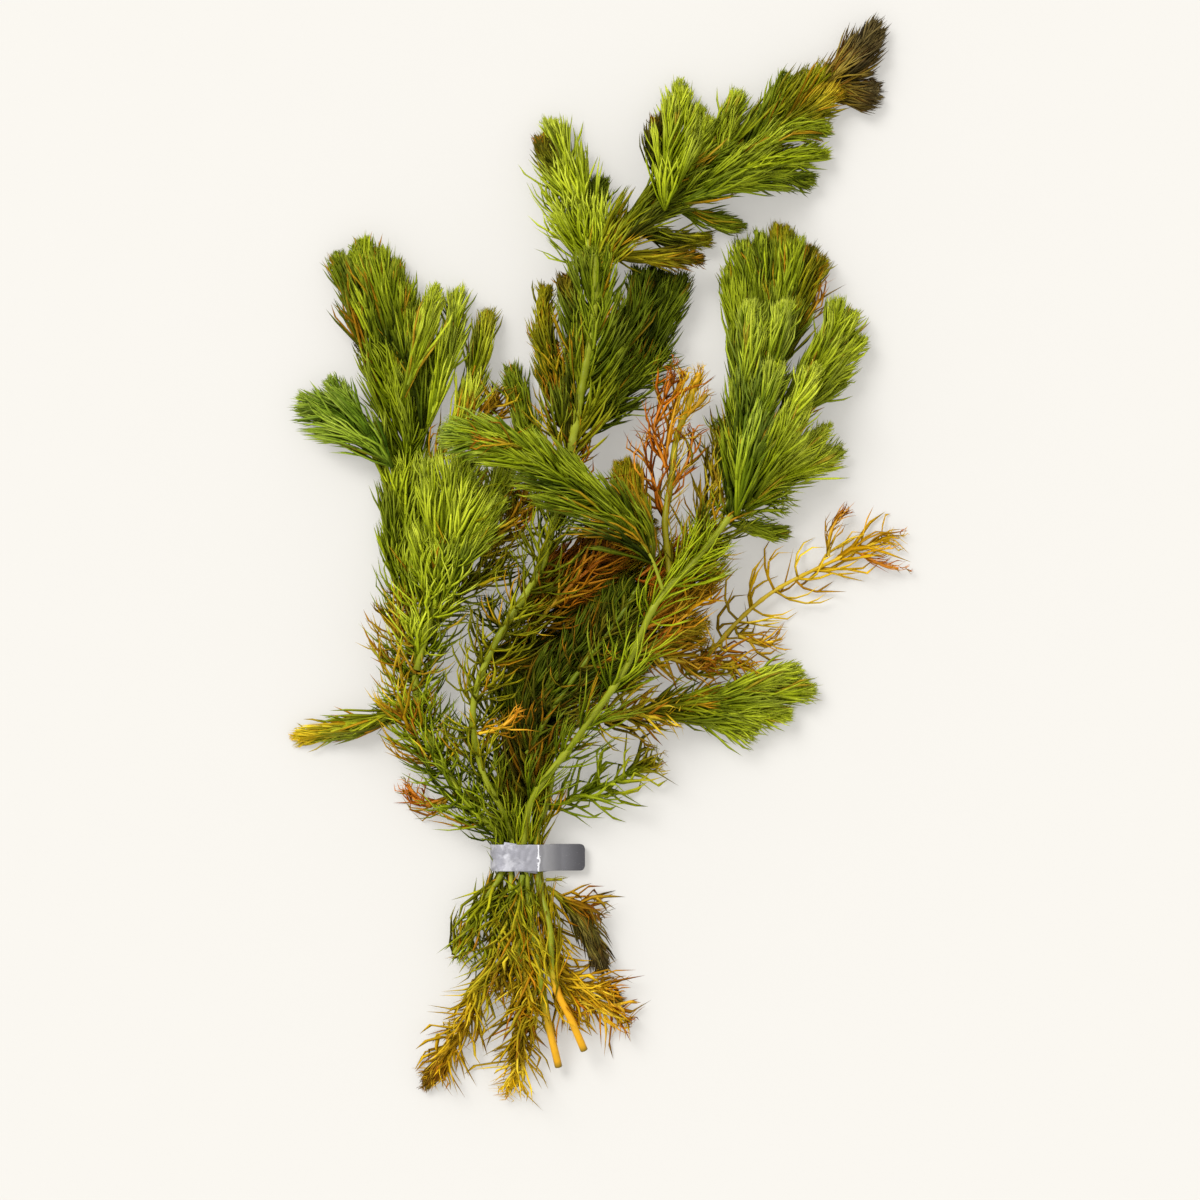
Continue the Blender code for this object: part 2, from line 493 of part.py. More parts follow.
def make_strip(materials, collection):
    """The lead strip: an open ribbon that Solidify gives its thickness."""
    line, turned = strip_line()
    mesh = bpy.data.meshes.new("lead_strip")
    ribbon = bmesh.new()
    rows = []
    for i, (x, z) in enumerate(line):
        shift = strip_askew(x, i <= turned)
        half = STRIP_WIDTH / 2
        rows.append([ribbon.verts.new((x * MM, (shift + y) * MM, z * MM)) for y in (-half, half)])
    for lower, upper in zip(rows, rows[1:]):
        ribbon.faces.new((lower[0], upper[0], upper[1], lower[1]))
    ends = [corner for row in (rows[0], rows[-1]) for corner in row]
    bmesh.ops.bevel(ribbon, geom=ends, offset=STRIP_CORNER * MM, segments=STRIP_CORNER_STEPS,
                    affect="VERTICES", profile=0.5)
    for edge in ribbon.edges:
        edge.smooth = not edge.is_boundary
    ribbon.to_mesh(mesh)
    ribbon.free()
    for face in mesh.polygons:
        face.use_smooth = True
    mesh.materials.append(materials["lead"])
    piece = bpy.data.objects.new("lead_strip", mesh)
    collection.objects.link(piece)
    wall = piece.modifiers.new("thickness", "SOLIDIFY")
    wall.thickness = STRIP_THICKNESS * MM
    wall.offset = 0.0
    wall.use_even_offset = True
    return piece


def main():
    """Build the whole bunch."""
    clear_scene()
    collection = bpy.data.collections.new("hornwort_bunch")
    bpy.context.scene.collection.children.link(collection)
    materials = {name: make_material(name, colour) for name, colour in COLOURS.items()}
    make_strip(materials, collection)
    for sprig in RIGHT_PLANT + SIDE_PLANT + MIDDLE_PLANT + LEFT_PLANT + HEART + FOOT:
        make_sprig(sprig, materials, collection)


main()
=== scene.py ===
"""Looks for a bunch of cut hornwort that lies flat, tied low down with a bent strip of lead.

Every stem carries whorls of fine forked leaves. A few leaf forms are modelled once, then bent, turned and
scaled into place round each stem, and each sprig becomes one piece that stands for its solid. The lead strip
is a creased ribbon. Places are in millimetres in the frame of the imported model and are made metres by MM.
"""

import logging
import math
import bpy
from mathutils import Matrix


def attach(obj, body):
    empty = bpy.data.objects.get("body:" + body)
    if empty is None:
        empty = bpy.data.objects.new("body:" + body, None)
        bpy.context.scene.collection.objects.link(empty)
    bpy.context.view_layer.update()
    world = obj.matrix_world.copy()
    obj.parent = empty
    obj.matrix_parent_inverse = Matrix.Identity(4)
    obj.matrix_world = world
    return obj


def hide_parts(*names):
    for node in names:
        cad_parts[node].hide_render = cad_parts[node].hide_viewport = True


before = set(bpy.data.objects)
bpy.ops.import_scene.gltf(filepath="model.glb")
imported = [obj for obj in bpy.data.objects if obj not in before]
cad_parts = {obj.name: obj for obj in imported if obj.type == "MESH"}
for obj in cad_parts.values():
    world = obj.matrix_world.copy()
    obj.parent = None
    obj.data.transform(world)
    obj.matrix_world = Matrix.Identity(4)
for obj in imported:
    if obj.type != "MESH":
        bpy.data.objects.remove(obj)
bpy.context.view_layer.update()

import zlib
from dataclasses import dataclass, field, fields
from enum import Enum, IntEnum
from typing import Any

import bpy
import numpy as np
from mathutils import Vector, noise

log = logging.getLogger("hornwort")
MM = 0.001
Array = np.ndarray
Material = bpy.types.Material
Object = bpy.types.Object
Socket = bpy.types.NodeSocket
Span = tuple[float, float]
Colour = tuple[float, float, float]
Place = tuple[float, float, float, float]


def linear(colour: Colour) -> Array:
    """Turn a screen colour of 0 to 255 into the linear colour that a shader takes."""
    share = np.asarray(colour, float) / 255.0
    return np.where(share <= 0.04045, share / 12.92, ((share + 0.055) / 1.055) ** 2.4)


def opaque(colour: Colour) -> tuple[float, ...]:
    """Turn a screen colour into the four values of a colour socket."""
    return (*linear(colour), 1.0)


@dataclass(frozen=True)
class Tone:
    """The colours of one kind of leaf, as screen colours of 0 to 255, and how many leaves are flecked."""

    deep: Colour
    body: Colour
    light: Colour
    tip: Colour
    fleck: Colour
    flecked: float = 0.06

    def table(self) -> Array:
        """Give the five colours as rows of linear colour."""
        return np.array([linear(c) for c in (self.deep, self.body, self.light, self.tip, self.fleck)])


class Leafage(Enum):
    """The leaf colours of the bunch, from fresh growth to withered tips."""

    BRIGHT = Tone((66, 80, 2), (126, 138, 4), (170, 180, 28), (184, 192, 62), (176, 118, 16), 0.02)
    PALE = Tone((96, 108, 4), (152, 163, 14), (194, 202, 50), (208, 214, 88), (170, 140, 40), 0.01)
    MID = Tone((38, 50, 0), (88, 100, 4), (134, 144, 22), (152, 160, 46), (160, 116, 14), 0.035)
    DEEP = Tone((20, 28, 0), (54, 66, 2), (96, 108, 14), (108, 118, 26), (106, 78, 8), 0.05)
    COOL = Tone((36, 60, 6), (82, 106, 14), (130, 150, 36), (184, 196, 84), (104, 96, 14), 0.01)
    OLIVE = Tone((54, 50, 0), (116, 110, 4), (162, 150, 18), (160, 146, 30), (174, 120, 14), 0.2)
    GOLDEN = Tone((96, 72, 4), (160, 130, 12), (202, 174, 44), (178, 140, 30), (140, 86, 14), 0.25)
    YELLOW = Tone((150, 104, 2), (214, 170, 14), (240, 208, 56), (234, 188, 34), (176, 98, 12), 0.18)
    RUSTY = Tone((98, 46, 4), (172, 94, 10), (212, 142, 36), (168, 84, 14), (110, 104, 10), 0.15)
    WITHERED = Tone((38, 30, 14), (78, 66, 34), (122, 106, 64), (96, 82, 48), (56, 42, 20), 0.2)
    EARTHY = Tone((28, 26, 0), (74, 64, 4), (122, 106, 16), (116, 92, 20), (160, 104, 12), 0.28)
    STEM = Tone((84, 90, 4), (112, 118, 8), (156, 162, 44), (136, 136, 24), (130, 90, 12), 0.0)
    CUT = Tone((150, 92, 4), (200, 140, 8), (228, 178, 40), (196, 136, 24), (130, 80, 12), 0.0)


@dataclass(frozen=True)
class Habit:
    """How a sprig grows. Lengths are in millimetres.

    Whorls: `spacing` apart at the foot and closer by `crowding` at the tip, each of so many `leaves`. They
    start `overlap` before the foot. Leaves: their `length`, `forks` and `thickness`, how far the shortest
    reach (`inner`), how `unruly` they point, and their `flare`, `wave` and `splay`. Locks: so many `sectors`
    round the stem, each `band` long, drawn together by `clump`, differing by `lock_spread` and reaching
    `fullness` of the shoot's own reach.
    """

    spacing: float = 2.4
    leaves: int = 15
    length: float = 17.0
    forks: tuple[str, ...] = ("fine_forked", "fine_spread", "fine_once")
    thickness: float = 1.22
    inner: float = 0.3
    unruly: float = 0.1
    crowding: float = 0.5
    sectors: int = 5
    band: float = 9.0
    clump: float = 0.55
    lock_spread: float = 0.28
    flare: float = 0.12
    wave: float = 0.5
    overlap: float = 1.5
    splay: float = 1.0
    fullness: float = 0.84


LACY = ("forked_twice", "forked_wide", "forked_open")


class Growth(Enum):
    """The ways the bunch's sprigs grow."""

    TUFT = Habit(leaves=11, length=20.0, thickness=1.35, splay=1.2)
    BRUSH = Habit(spacing=2.8, leaves=11, length=25.0, thickness=1.3, inner=0.25, unruly=0.07, clump=0.76,
                  lock_spread=0.34, band=10.0, wave=0.55, splay=1.15)
    FEATHER = Habit(spacing=3.4, leaves=11, length=23.0, thickness=1.3, inner=0.3, unruly=0.08, clump=0.66,
                    lock_spread=0.38, band=10.5, wave=0.55, splay=1.2)
    LOCK = Habit(spacing=2.6, leaves=8, length=22.0, thickness=1.3, inner=0.2, unruly=0.08, sectors=3,
                 clump=0.78, flare=0.02, overlap=3.0, splay=1.15)
    OPEN = Habit(spacing=6.8, leaves=8, length=15.5, forks=LACY, thickness=1.0, inner=0.6, unruly=0.25,
                 clump=0.1, lock_spread=0.2, flare=-0.2, wave=1.1, overlap=0.0, splay=1.6, fullness=1.0)
    NODES = Habit(spacing=13.0, leaves=9, length=20.0, forks=LACY, thickness=0.8, inner=0.6, unruly=0.3,
                  clump=0.1, lock_spread=0.2, flare=0.0, wave=0.7, overlap=0.0, splay=1.2, fullness=1.0)
    STRAGGLE = Habit(spacing=6.4, leaves=3, length=17.0, forks=LACY, thickness=1.15, inner=0.6, unruly=0.3,
                     clump=0.2, sectors=3, flare=-0.2, wave=2.0, overlap=0.0, splay=1.6, fullness=1.0)
    LACE = Habit(spacing=4.6, leaves=4, length=14.5, forks=LACY, thickness=1.25, inner=0.4, unruly=0.3,
                 clump=0.2, sectors=4, flare=-0.1, wave=2.2, overlap=0.0, splay=2.1, fullness=0.9)
    FLAME = Habit(spacing=2.4, leaves=7, length=24.0, thickness=1.3, inner=0.25, unruly=0.06, sectors=3,
                  band=15.0, clump=0.72, lock_spread=0.26, flare=0.02, wave=0.55, overlap=3.0, splay=1.15)
    SHEATH = Habit(spacing=1.9, leaves=13, length=20.0, inner=0.2, unruly=0.05, clump=0.85, lock_spread=0.16,
                   flare=0.0, wave=0.15)
    TWIG = Habit(spacing=4.5, leaves=7, length=10.0, forks=LACY, thickness=0.8, inner=0.4, unruly=0.25,
                 clump=0.3, sectors=3, wave=0.8, overlap=1.0)
    WISP = Habit(spacing=6.0, leaves=4, length=13.0, forks=LACY, thickness=0.75, inner=0.5, unruly=0.5,
                 clump=0.2, sectors=3, wave=1.5, overlap=0.0)
    CURL = Habit(spacing=4.0, leaves=2, length=14.0, forks=LACY, thickness=1.15, inner=0.4, unruly=0.6,
                 clump=0.4, sectors=2, wave=2.6, overlap=1.0, splay=1.4)


Stop = tuple[float, Leafage]


@dataclass(frozen=True)
class Shoot:
    """One stem with its whorls.

    Each place is x, y, z and how far the leaves reach to the side there. The tones run from foot to tip. The
    `bare` share of its foot has no leaves, `flatness` is how high leaves stand for their reach, and `stem`
    gives the stem's radius at foot and tip.
    """

    places: tuple[Place, ...]
    growth: Growth
    tones: tuple[Stop, ...]
    bare: float = 0.0
    flatness: float = 0.42
    stem: Span = (0.45, 0.25)
    stem_tones: tuple[Stop, ...] = ()


@dataclass(frozen=True)
class Sprig:
    """One piece of the bunch: the node that it stands for, its material slot and its shoots."""

    node: str
    slot: str
    shoots: list[Shoot]


def stops(tones: Any) -> tuple[Stop, ...]:
    """Settle where along a shoot each of its tones sits.

    Args:
        tones: one Leafage, which holds from foot to tip, or several, each at its even share of the shoot or
            in a pair with its own share.

    Returns:
        Pairs of a share of the shoot and a Leafage.
    """
    if isinstance(tones, Leafage):
        return ((0.0, tones),)
    gaps = max(len(tones) - 1, 1)
    return tuple((i / gaps, tone) if isinstance(tone, Leafage) else tone for i, tone in enumerate(tones))


def shoot(growth: Growth, tones: Any, *places: Place, stem_tones: Any = (), **more: Any) -> Shoot:
    """Make a shoot.

    Args:
        growth: how the shoot grows.
        tones: the tones of its leaves, as `stops` takes them.
        *places: the places along its stem.
        stem_tones: the tones of its stem, where they differ from those of its leaves.
        **more: any other field of a Shoot.

    Returns:
        The shoot.
    """
    return Shoot(places, growth, stops(tones), stem_tones=stops(stem_tones), **more)


BRIGHT, MID, DEEP, COOL, OLIVE = Leafage.BRIGHT, Leafage.MID, Leafage.DEEP, Leafage.COOL, Leafage.OLIVE
GOLDEN, YELLOW, RUSTY, WITHERED = Leafage.GOLDEN, Leafage.YELLOW, Leafage.RUSTY, Leafage.WITHERED
EARTHY, STEM, CUT, PALE = Leafage.EARTHY, Leafage.STEM, Leafage.CUT, Leafage.PALE
FRESH = (DEEP, (0.25, MID), (0.55, BRIGHT), PALE)
GREEN = (DEEP, MID, BRIGHT)
SHADED = (DEEP, (0.6, MID))
CALM = (DEEP, (0.35, MID), (0.7, COOL), PALE)
SUNLIT = (MID, (0.35, BRIGHT), (0.8, PALE))

TUFT, BRUSH, FEATHER, LOCK, OPEN = Growth.TUFT, Growth.BRUSH, Growth.FEATHER, Growth.LOCK, Growth.OPEN
NODES, STRAGGLE, LACE, FLAME = Growth.NODES, Growth.STRAGGLE, Growth.LACE, Growth.FLAME
SHEATH, TWIG, WISP, CURL = Growth.SHEATH, Growth.TWIG, Growth.WISP, Growth.CURL

RIGHT_PLANT = (
    Sprig("right_stem", "green_stem", [
        shoot(NODES, (YELLOW, (0.25, OLIVE), (0.36, BRIGHT), (0.6, MID), (0.8, BRIGHT)),
            (9.8, -52.3, 3, 0.9), (7.5, -42, 6.4, 0.9), (5, -26, 9.2, 6), (1.8, -7, 5.4, 2),
            (1.2, 0, 4.7, 0.8), (1.5, 6, 5.2, 0.9), (2.9, 13, 8, 4), (14.5, 30, 14.5, 10),
            (26.5, 47.2, 19, 12), (36, 66.2, 20.5, 10), (43.2, 73.5, 18.5, 10), (53, 85.2, 14.5, 8),
            bare=0.13, flatness=0.34, stem=(0.95, 0.8),
            stem_tones=(EARTHY, (0.01, CUT), (0.05, CUT), (0.12, STEM))),
        shoot(OPEN, (OLIVE, MID), (40, 70.5, 17, 5), (46, 77.5, 15, 9), (52, 85, 13, 10), (56, 93, 11.5, 9),
            stem=(0.4, 0.3)),
        shoot(BRUSH, (EARTHY, OLIVE, GOLDEN), (28, 50, 12, 3), (35, 54, 10, 7), (42, 57, 8, 8),
            (48, 59, 6, 4), stem=(0.5, 0.3)),
        shoot(LACE, (OLIVE, GOLDEN, RUSTY), (30, 52, 12, 2), (37, 50, 9, 6), (44, 48.5, 7, 6),
            (51, 48.5, 6, 3), stem=(0.5, 0.3))]),
    Sprig("crossing_sprig", "bright_leaf", [
        shoot(BRUSH, (EARTHY, (0.2, MID), (0.6, MID), (0.85, BRIGHT), COOL), (35.6, 66.8, 21.8, 1.5),
            (32, 76.2, 23.2, 6), (25.5, 83.5, 23, 9.5), (18.2, 88.8, 22.6, 11.5), (8.8, 95, 22.2, 11),
            (-3.2, 102, 21.8, 7.8), (-12.2, 104.8, 21, 5.6), (-19.5, 105, 20, 1.8), bare=0.1, flatness=0.3,
            stem_tones=STEM),
        shoot(CURL, (OLIVE, RUSTY), (0, 102, 24, 0.8), (-6, 103.6, 24.2, 0.6), (-12.4, 104.4, 23.8, 0.4),
            stem=(0.3, 0.2))]),
    Sprig("olive_lobe", "olive_leaf", [
        shoot(SHEATH, OLIVE, (32.2, 75.6, 20.2, 0.9), (30.5, 82, 15.8, 5), (28.2, 89.2, 13.2, 6.5),
            (26.4, 96, 11.4, 5), (25.6, 99.5, 10.6, 2.5))]),
    Sprig("right_top_tuft", "mid_leaf", [
        shoot(BRUSH, SHADED, (52.6, 85, 14, 3), (55, 99.2, 8, 7.5), (58, 114.2, 5.2, 8.5),
            (60.6, 129.2, 4.6, 9.5), (63.8, 141.8, 4.4, 7.6), (65.4, 150.5, 3.7, 4.8),
            (65.8, 155, 3.2, 2.6), flatness=0.32),
        shoot(FLAME, GREEN, (55.5, 108, 6, 4), (55, 124, 5, 4.6), (53.8, 138, 4, 3.2),
            (52.4, 148.5, 3, 0.9)),
        shoot(FLAME, GREEN, (58, 118, 6, 4), (57.6, 134, 5.5, 4.5), (56.8, 146, 4.5, 3.5),
            (56.2, 154, 3, 1)),
        shoot(FLAME, GREEN, (60, 120, 6.6, 4), (61, 136, 6, 4.5), (60.6, 148, 5, 3.5),
            (60, 156.6, 3.4, 1.2)),
        shoot(FLAME, GREEN, (61, 118, 7, 4), (65, 133, 7, 5), (68, 146, 5.5, 4), (69.6, 155, 3.6, 1.2)),
        shoot(FLAME, (DEEP, (0.6, MID), OLIVE), (61, 116, 6, 3.5), (66, 132, 5.5, 4.2),
            (70.4, 144, 4.5, 3.4), (73.2, 152.8, 3, 1)),
        shoot(FLAME, (DEEP, (0.6, OLIVE)), (62, 116, 6, 2.5), (67.6, 130, 5, 3), (72.4, 141.4, 4, 2.2),
            (76.4, 150, 3, 0.8)),
        shoot(SHEATH, (DEEP, (0.6, MID), OLIVE), (63.6, 138, 4, 3), (65.2, 148, 3.6, 4.4),
            (65.6, 155, 3.2, 4), (65.6, 158.6, 2.6, 2.4)),
        shoot(CURL, (GOLDEN, RUSTY), (70, 132, 5, 1), (74, 138, 4, 3), (75.6, 146, 3, 1), stem=(0.3, 0.2))]),
    Sprig("right_front_tuft", "bright_leaf", [
        shoot(BRUSH, FRESH, (54.2, 86.4, 14.8, 2.5), (56.2, 103, 13.6, 6.5), (57.8, 117, 13, 7),
            (59.8, 129, 12.6, 4), (60.4, 134.8, 12.2, 1.5)),
        shoot(FLAME, CALM, (54.6, 98, 15, 3), (56.4, 113, 15, 4), (56.8, 127, 14.4, 3.2),
            (57.6, 139, 13.2, 1)),
        shoot(FLAME, CALM, (57, 100, 15.4, 3), (60.8, 115, 15, 4), (64, 128, 14, 3.2),
            (66.4, 138.6, 12.8, 1)),
        shoot(FLAME, (BRIGHT, (0.7, COOL), PALE), (54.6, 88, 17, 3), (57.6, 101, 17.4, 4.8),
            (61.6, 112.6, 17.2, 4.2), (64.4, 122.8, 16.4, 1.2))]),
    Sprig("right_side_tuft", "bright_leaf", [
        shoot(FEATHER, SHADED, (62.8, 103.8, 11.6, 2), (69.4, 114, 10, 4), (76.4, 123, 6.6, 5),
            (81, 129, 3.6, 2.5), (83.4, 131.8, 2.9, 1.2)),
        shoot(FLAME, SUNLIT, (67, 113, 11.5, 3), (73.2, 123, 9.5, 3), (77.6, 131.6, 7, 2.4),
            (79.8, 139.6, 4.5, 0.8)),
        shoot(FLAME, SUNLIT, (68, 112, 11, 3), (75.4, 122.6, 8.5, 3.2), (80.4, 130.4, 6, 2.4),
            (83.6, 137, 4, 0.8)),
        shoot(FLAME, SUNLIT, (69, 110, 9.6, 2.5), (77, 119.6, 7.6, 2.8), (82.6, 125.6, 5, 1.8),
            (86.6, 130, 3.4, 0.6)),
        shoot(FLAME, FRESH, (66, 106, 9, 2), (73, 113.4, 6.6, 2.4), (79, 118.4, 4.6, 1.6),
            (83, 122.4, 3, 0.6))]),
    Sprig("right_fan", "bright_leaf", [
        shoot(FLAME, SUNLIT, (58, 92, 14.6, 2), (64, 103, 16.6, 3.6), (69.2, 113, 17, 2.8),
            (74, 122.4, 16.2, 0.8)),
        shoot(FLAME, SUNLIT, (60, 92, 13.6, 2), (65.4, 102, 15.4, 3), (69, 109, 15.6, 2.4),
            (71.6, 116, 15, 0.8))]),
    Sprig("right_lower_tuft", "bright_leaf", [
        shoot(FEATHER, (BRIGHT, (0.5, PALE)), (57, 88, 12.4, 3), (65.8, 94.8, 8.6, 4.2),
            (73, 99.2, 4.6, 3.4), (78.4, 101.6, 2.4, 1.2)),
        shoot(FLAME, (BRIGHT, (0.5, PALE)), (58, 89, 13, 2.5), (66, 97.4, 9.6, 3), (72.4, 102.8, 7, 2.2),
            (77.8, 107.8, 4.6, 0.7)),
        shoot(FLAME, (BRIGHT, (0.5, PALE)), (59, 88, 11, 2.5), (68, 94.6, 7.4, 2.8), (75.6, 98.8, 5, 1.8),
            (81.2, 101.8, 2.6, 0.7)),
        shoot(OPEN, FRESH, (58, 88.6, 10, 2), (64, 90.4, 6, 4.5), (70, 91.6, 3, 2))]),
    Sprig("right_low_sprig", "deep_leaf", [
        shoot(SHEATH, MID, (54, 83.2, 12, 0.8), (60.2, 81.4, 7.6, 3.2), (67.4, 81, 3, 1)),
        shoot(TWIG, BRIGHT, (54, 85, 11, 1), (60, 86.5, 8, 4.5), (68, 86.6, 5, 1.5))]),
    Sprig("bare_cut_stem", "yellow_leaf", [
        shoot(WISP, (OLIVE, (0.4, GOLDEN), YELLOW), (37.4, 70.8, 17.6, 0.9), (36.4, 84.2, 14.6, 5),
            (38.2, 94.8, 12, 6), (39.2, 104, 11, 6), (42.2, 113, 10.3, 4), (45.8, 123.5, 9, 0.9),
            stem=(0.85, 0.7), stem_tones=(OLIVE, (0.6, OLIVE), (0.85, GOLDEN), (0.97, CUT), EARTHY)),
        shoot(WISP, YELLOW, (40.8, 109.4, 10.5, 0.8), (44.6, 113, 10, 1.5), (48.6, 117.6, 9.4, 1),
            stem=(0.65, 0.55), stem_tones=(CUT, EARTHY))]),
    Sprig("rusty_curled_leaf", "rusty_leaf", [
        shoot(CURL, RUSTY, (36.5, 97, 12.8, 2), (33.6, 106.8, 13, 4.5), (36.4, 115, 12, 4),
            (39, 123.8, 11, 1.5), stem=(0.4, 0.2)),
        shoot(CURL, (RUSTY, YELLOW), (36, 98, 12, 2), (38.4, 110, 11.6, 5), (42.4, 122.6, 10, 1.5),
            stem=(0.35, 0.2)),
        shoot(CURL, RUSTY, (37, 90, 12, 2), (42, 99, 11, 5), (44, 110, 10, 2), stem=(0.35, 0.2)),
        shoot(CURL, RUSTY, (36, 86, 12.6, 2), (33.4, 94, 12.6, 5), (31.6, 101, 12, 4), (33, 108, 11, 2),
            stem=(0.35, 0.2))]),
    Sprig("rusty_sprig", "rusty_leaf", [
        shoot(BRUSH, (RUSTY, GOLDEN, OLIVE), (32, 58.4, 14, 4), (40, 66.5, 10.5, 9), (45.6, 74.2, 7.4, 9),
            (49.6, 81.4, 5, 4.5), stem=(0.5, 0.3)),
        shoot(CURL, (RUSTY, YELLOW), (36, 56, 15, 2), (43, 62, 13, 6), (48, 70, 10, 5), stem=(0.3, 0.2)),
        shoot(CURL, RUSTY, (30, 70, 14, 2), (36, 75, 13, 5), (42, 82, 10, 3), stem=(0.3, 0.2)),
        shoot(OPEN, (OLIVE, GOLDEN, MID), (43, 76, 9, 3), (47.4, 88, 8, 6), (50.4, 100, 7, 6),
            (52, 112, 6, 4), stem=(0.5, 0.3))]),
)

SIDE_PLANT = (
    Sprig("straggly_sprig", "yellow_leaf", [
        shoot(STRAGGLE, (OLIVE, (0.3, GOLDEN), (0.5, YELLOW), (0.9, YELLOW), RUSTY), (41.6, 46.2, 5.8, 1.5),
            (48, 51.4, 4.2, 6), (52.5, 56.8, 3.6, 8), (61.5, 64.8, 3.4, 12.5), (75, 72.5, 2.9, 11.5),
            (83.8, 76.5, 2.4, 7.5), (90.5, 79, 2, 4), (96.4, 81, 1.5, 1.6), stem=(0.6, 0.35),
            stem_tones=(OLIVE, GOLDEN, YELLOW)),
        shoot(LACE, (OLIVE, GOLDEN, YELLOW), (42, 47, 5, 2), (49, 48.6, 4.4, 4.5), (56, 47.6, 3.4, 4),
            (61, 45.6, 2.6, 1.5), stem=(0.4, 0.2))]),
    Sprig("straggly_side_branch", "yellow_leaf", [
        shoot(STRAGGLE, (GOLDEN, (0.6, YELLOW), RUSTY), (54.8, 55.2, 4.4, 0.7), (59.2, 53.6, 4, 3.4),
            (68.4, 55.6, 2.6, 1.8), stem=(0.4, 0.2))]),
    Sprig("straggly_up_twig", "yellow_leaf", [
        shoot(WISP, (GOLDEN, RUSTY), (77.1, 75.2, 3.8, 0.6), (77.6, 81, 5, 2.4), (79.8, 85, 3.6, 1.8),
            (83.2, 88.4, 2, 0.8), stem=(0.4, 0.2))]),
    Sprig("straggly_curled_fork", "rusty_leaf", [
        shoot(WISP, RUSTY, (85.4, 75.6, 3.2, 0.6), (91.5, 72.6, 3.2, 2.4), (97.6, 72.2, 2, 1.4),
            stem=(0.4, 0.2))]),
    Sprig("lower_right_sprig", "bright_leaf", [
        shoot(OPEN, (GOLDEN, (0.4, OLIVE), BRIGHT), (19.8, 34.4, 13.8, 1.5), (28.2, 37, 9.2, 8),
            (36.2, 37.6, 6.6, 8.5), (44.2, 38.4, 5, 7), (52, 39, 5, 3)),
        shoot(FEATHER, (OLIVE, (0.3, MID), (0.6, BRIGHT), PALE), (32, 37, 8.6, 2.5), (42, 38, 6.6, 7.5),
            (52, 39.4, 5, 8), (61, 40.4, 3.6, 6), (69, 41.6, 2.6, 3), (74.6, 42.2, 2.3, 1)),
        shoot(FLAME, SUNLIT, (48, 39, 6.5, 3), (60, 44, 5.5, 4), (71.6, 47, 3.6, 1.2)),
        shoot(FLAME, SUNLIT, (44, 37, 6, 3), (57, 36.4, 5, 4.2), (68.4, 35.4, 3, 1.2)),
        shoot(FLAME, SUNLIT, (40, 36.4, 6, 3), (50, 34, 5, 3.6), (59.6, 31.4, 3, 1.2)),
        shoot(LACE, (OLIVE, GOLDEN, YELLOW), (22, 34, 9, 3), (32, 36, 7.5, 6), (42, 36, 6.5, 4),
            stem=(0.5, 0.3))]),
    Sprig("thin_stem", "green_stem", [
        shoot(NODES, (YELLOW, (0.5, OLIVE)), (16.2, -48, 6.4, 0.9), (12.8, -39.8, 8.8, 0.9),
            (9.2, -31.8, 9.6, 2), (7.8, -17, 8.6, 5), (4.9, -6, 4.8, 0.8), (4.2, 0, 4.3, 0.8),
            (4.6, 6, 4.7, 0.8), (7.4, 14, 7, 4), (8.6, 20.5, 8.4, 5), bare=0.24, stem=(0.95, 0.6),
            stem_tones=(EARTHY, (0.02, CUT), (0.22, CUT), (0.32, STEM)))]),
    Sprig("low_twig", "mid_leaf", [
        shoot(LACE, (MID, (0.7, BRIGHT), GOLDEN), (8.5, 12.6, 6.3, 1), (14.6, 15, 5.6, 5),
            (23, 18.8, 4.4, 7), (30.2, 22.6, 3.6, 6), (36.6, 25.6, 2.6, 2), stem=(0.5, 0.3))]),
)

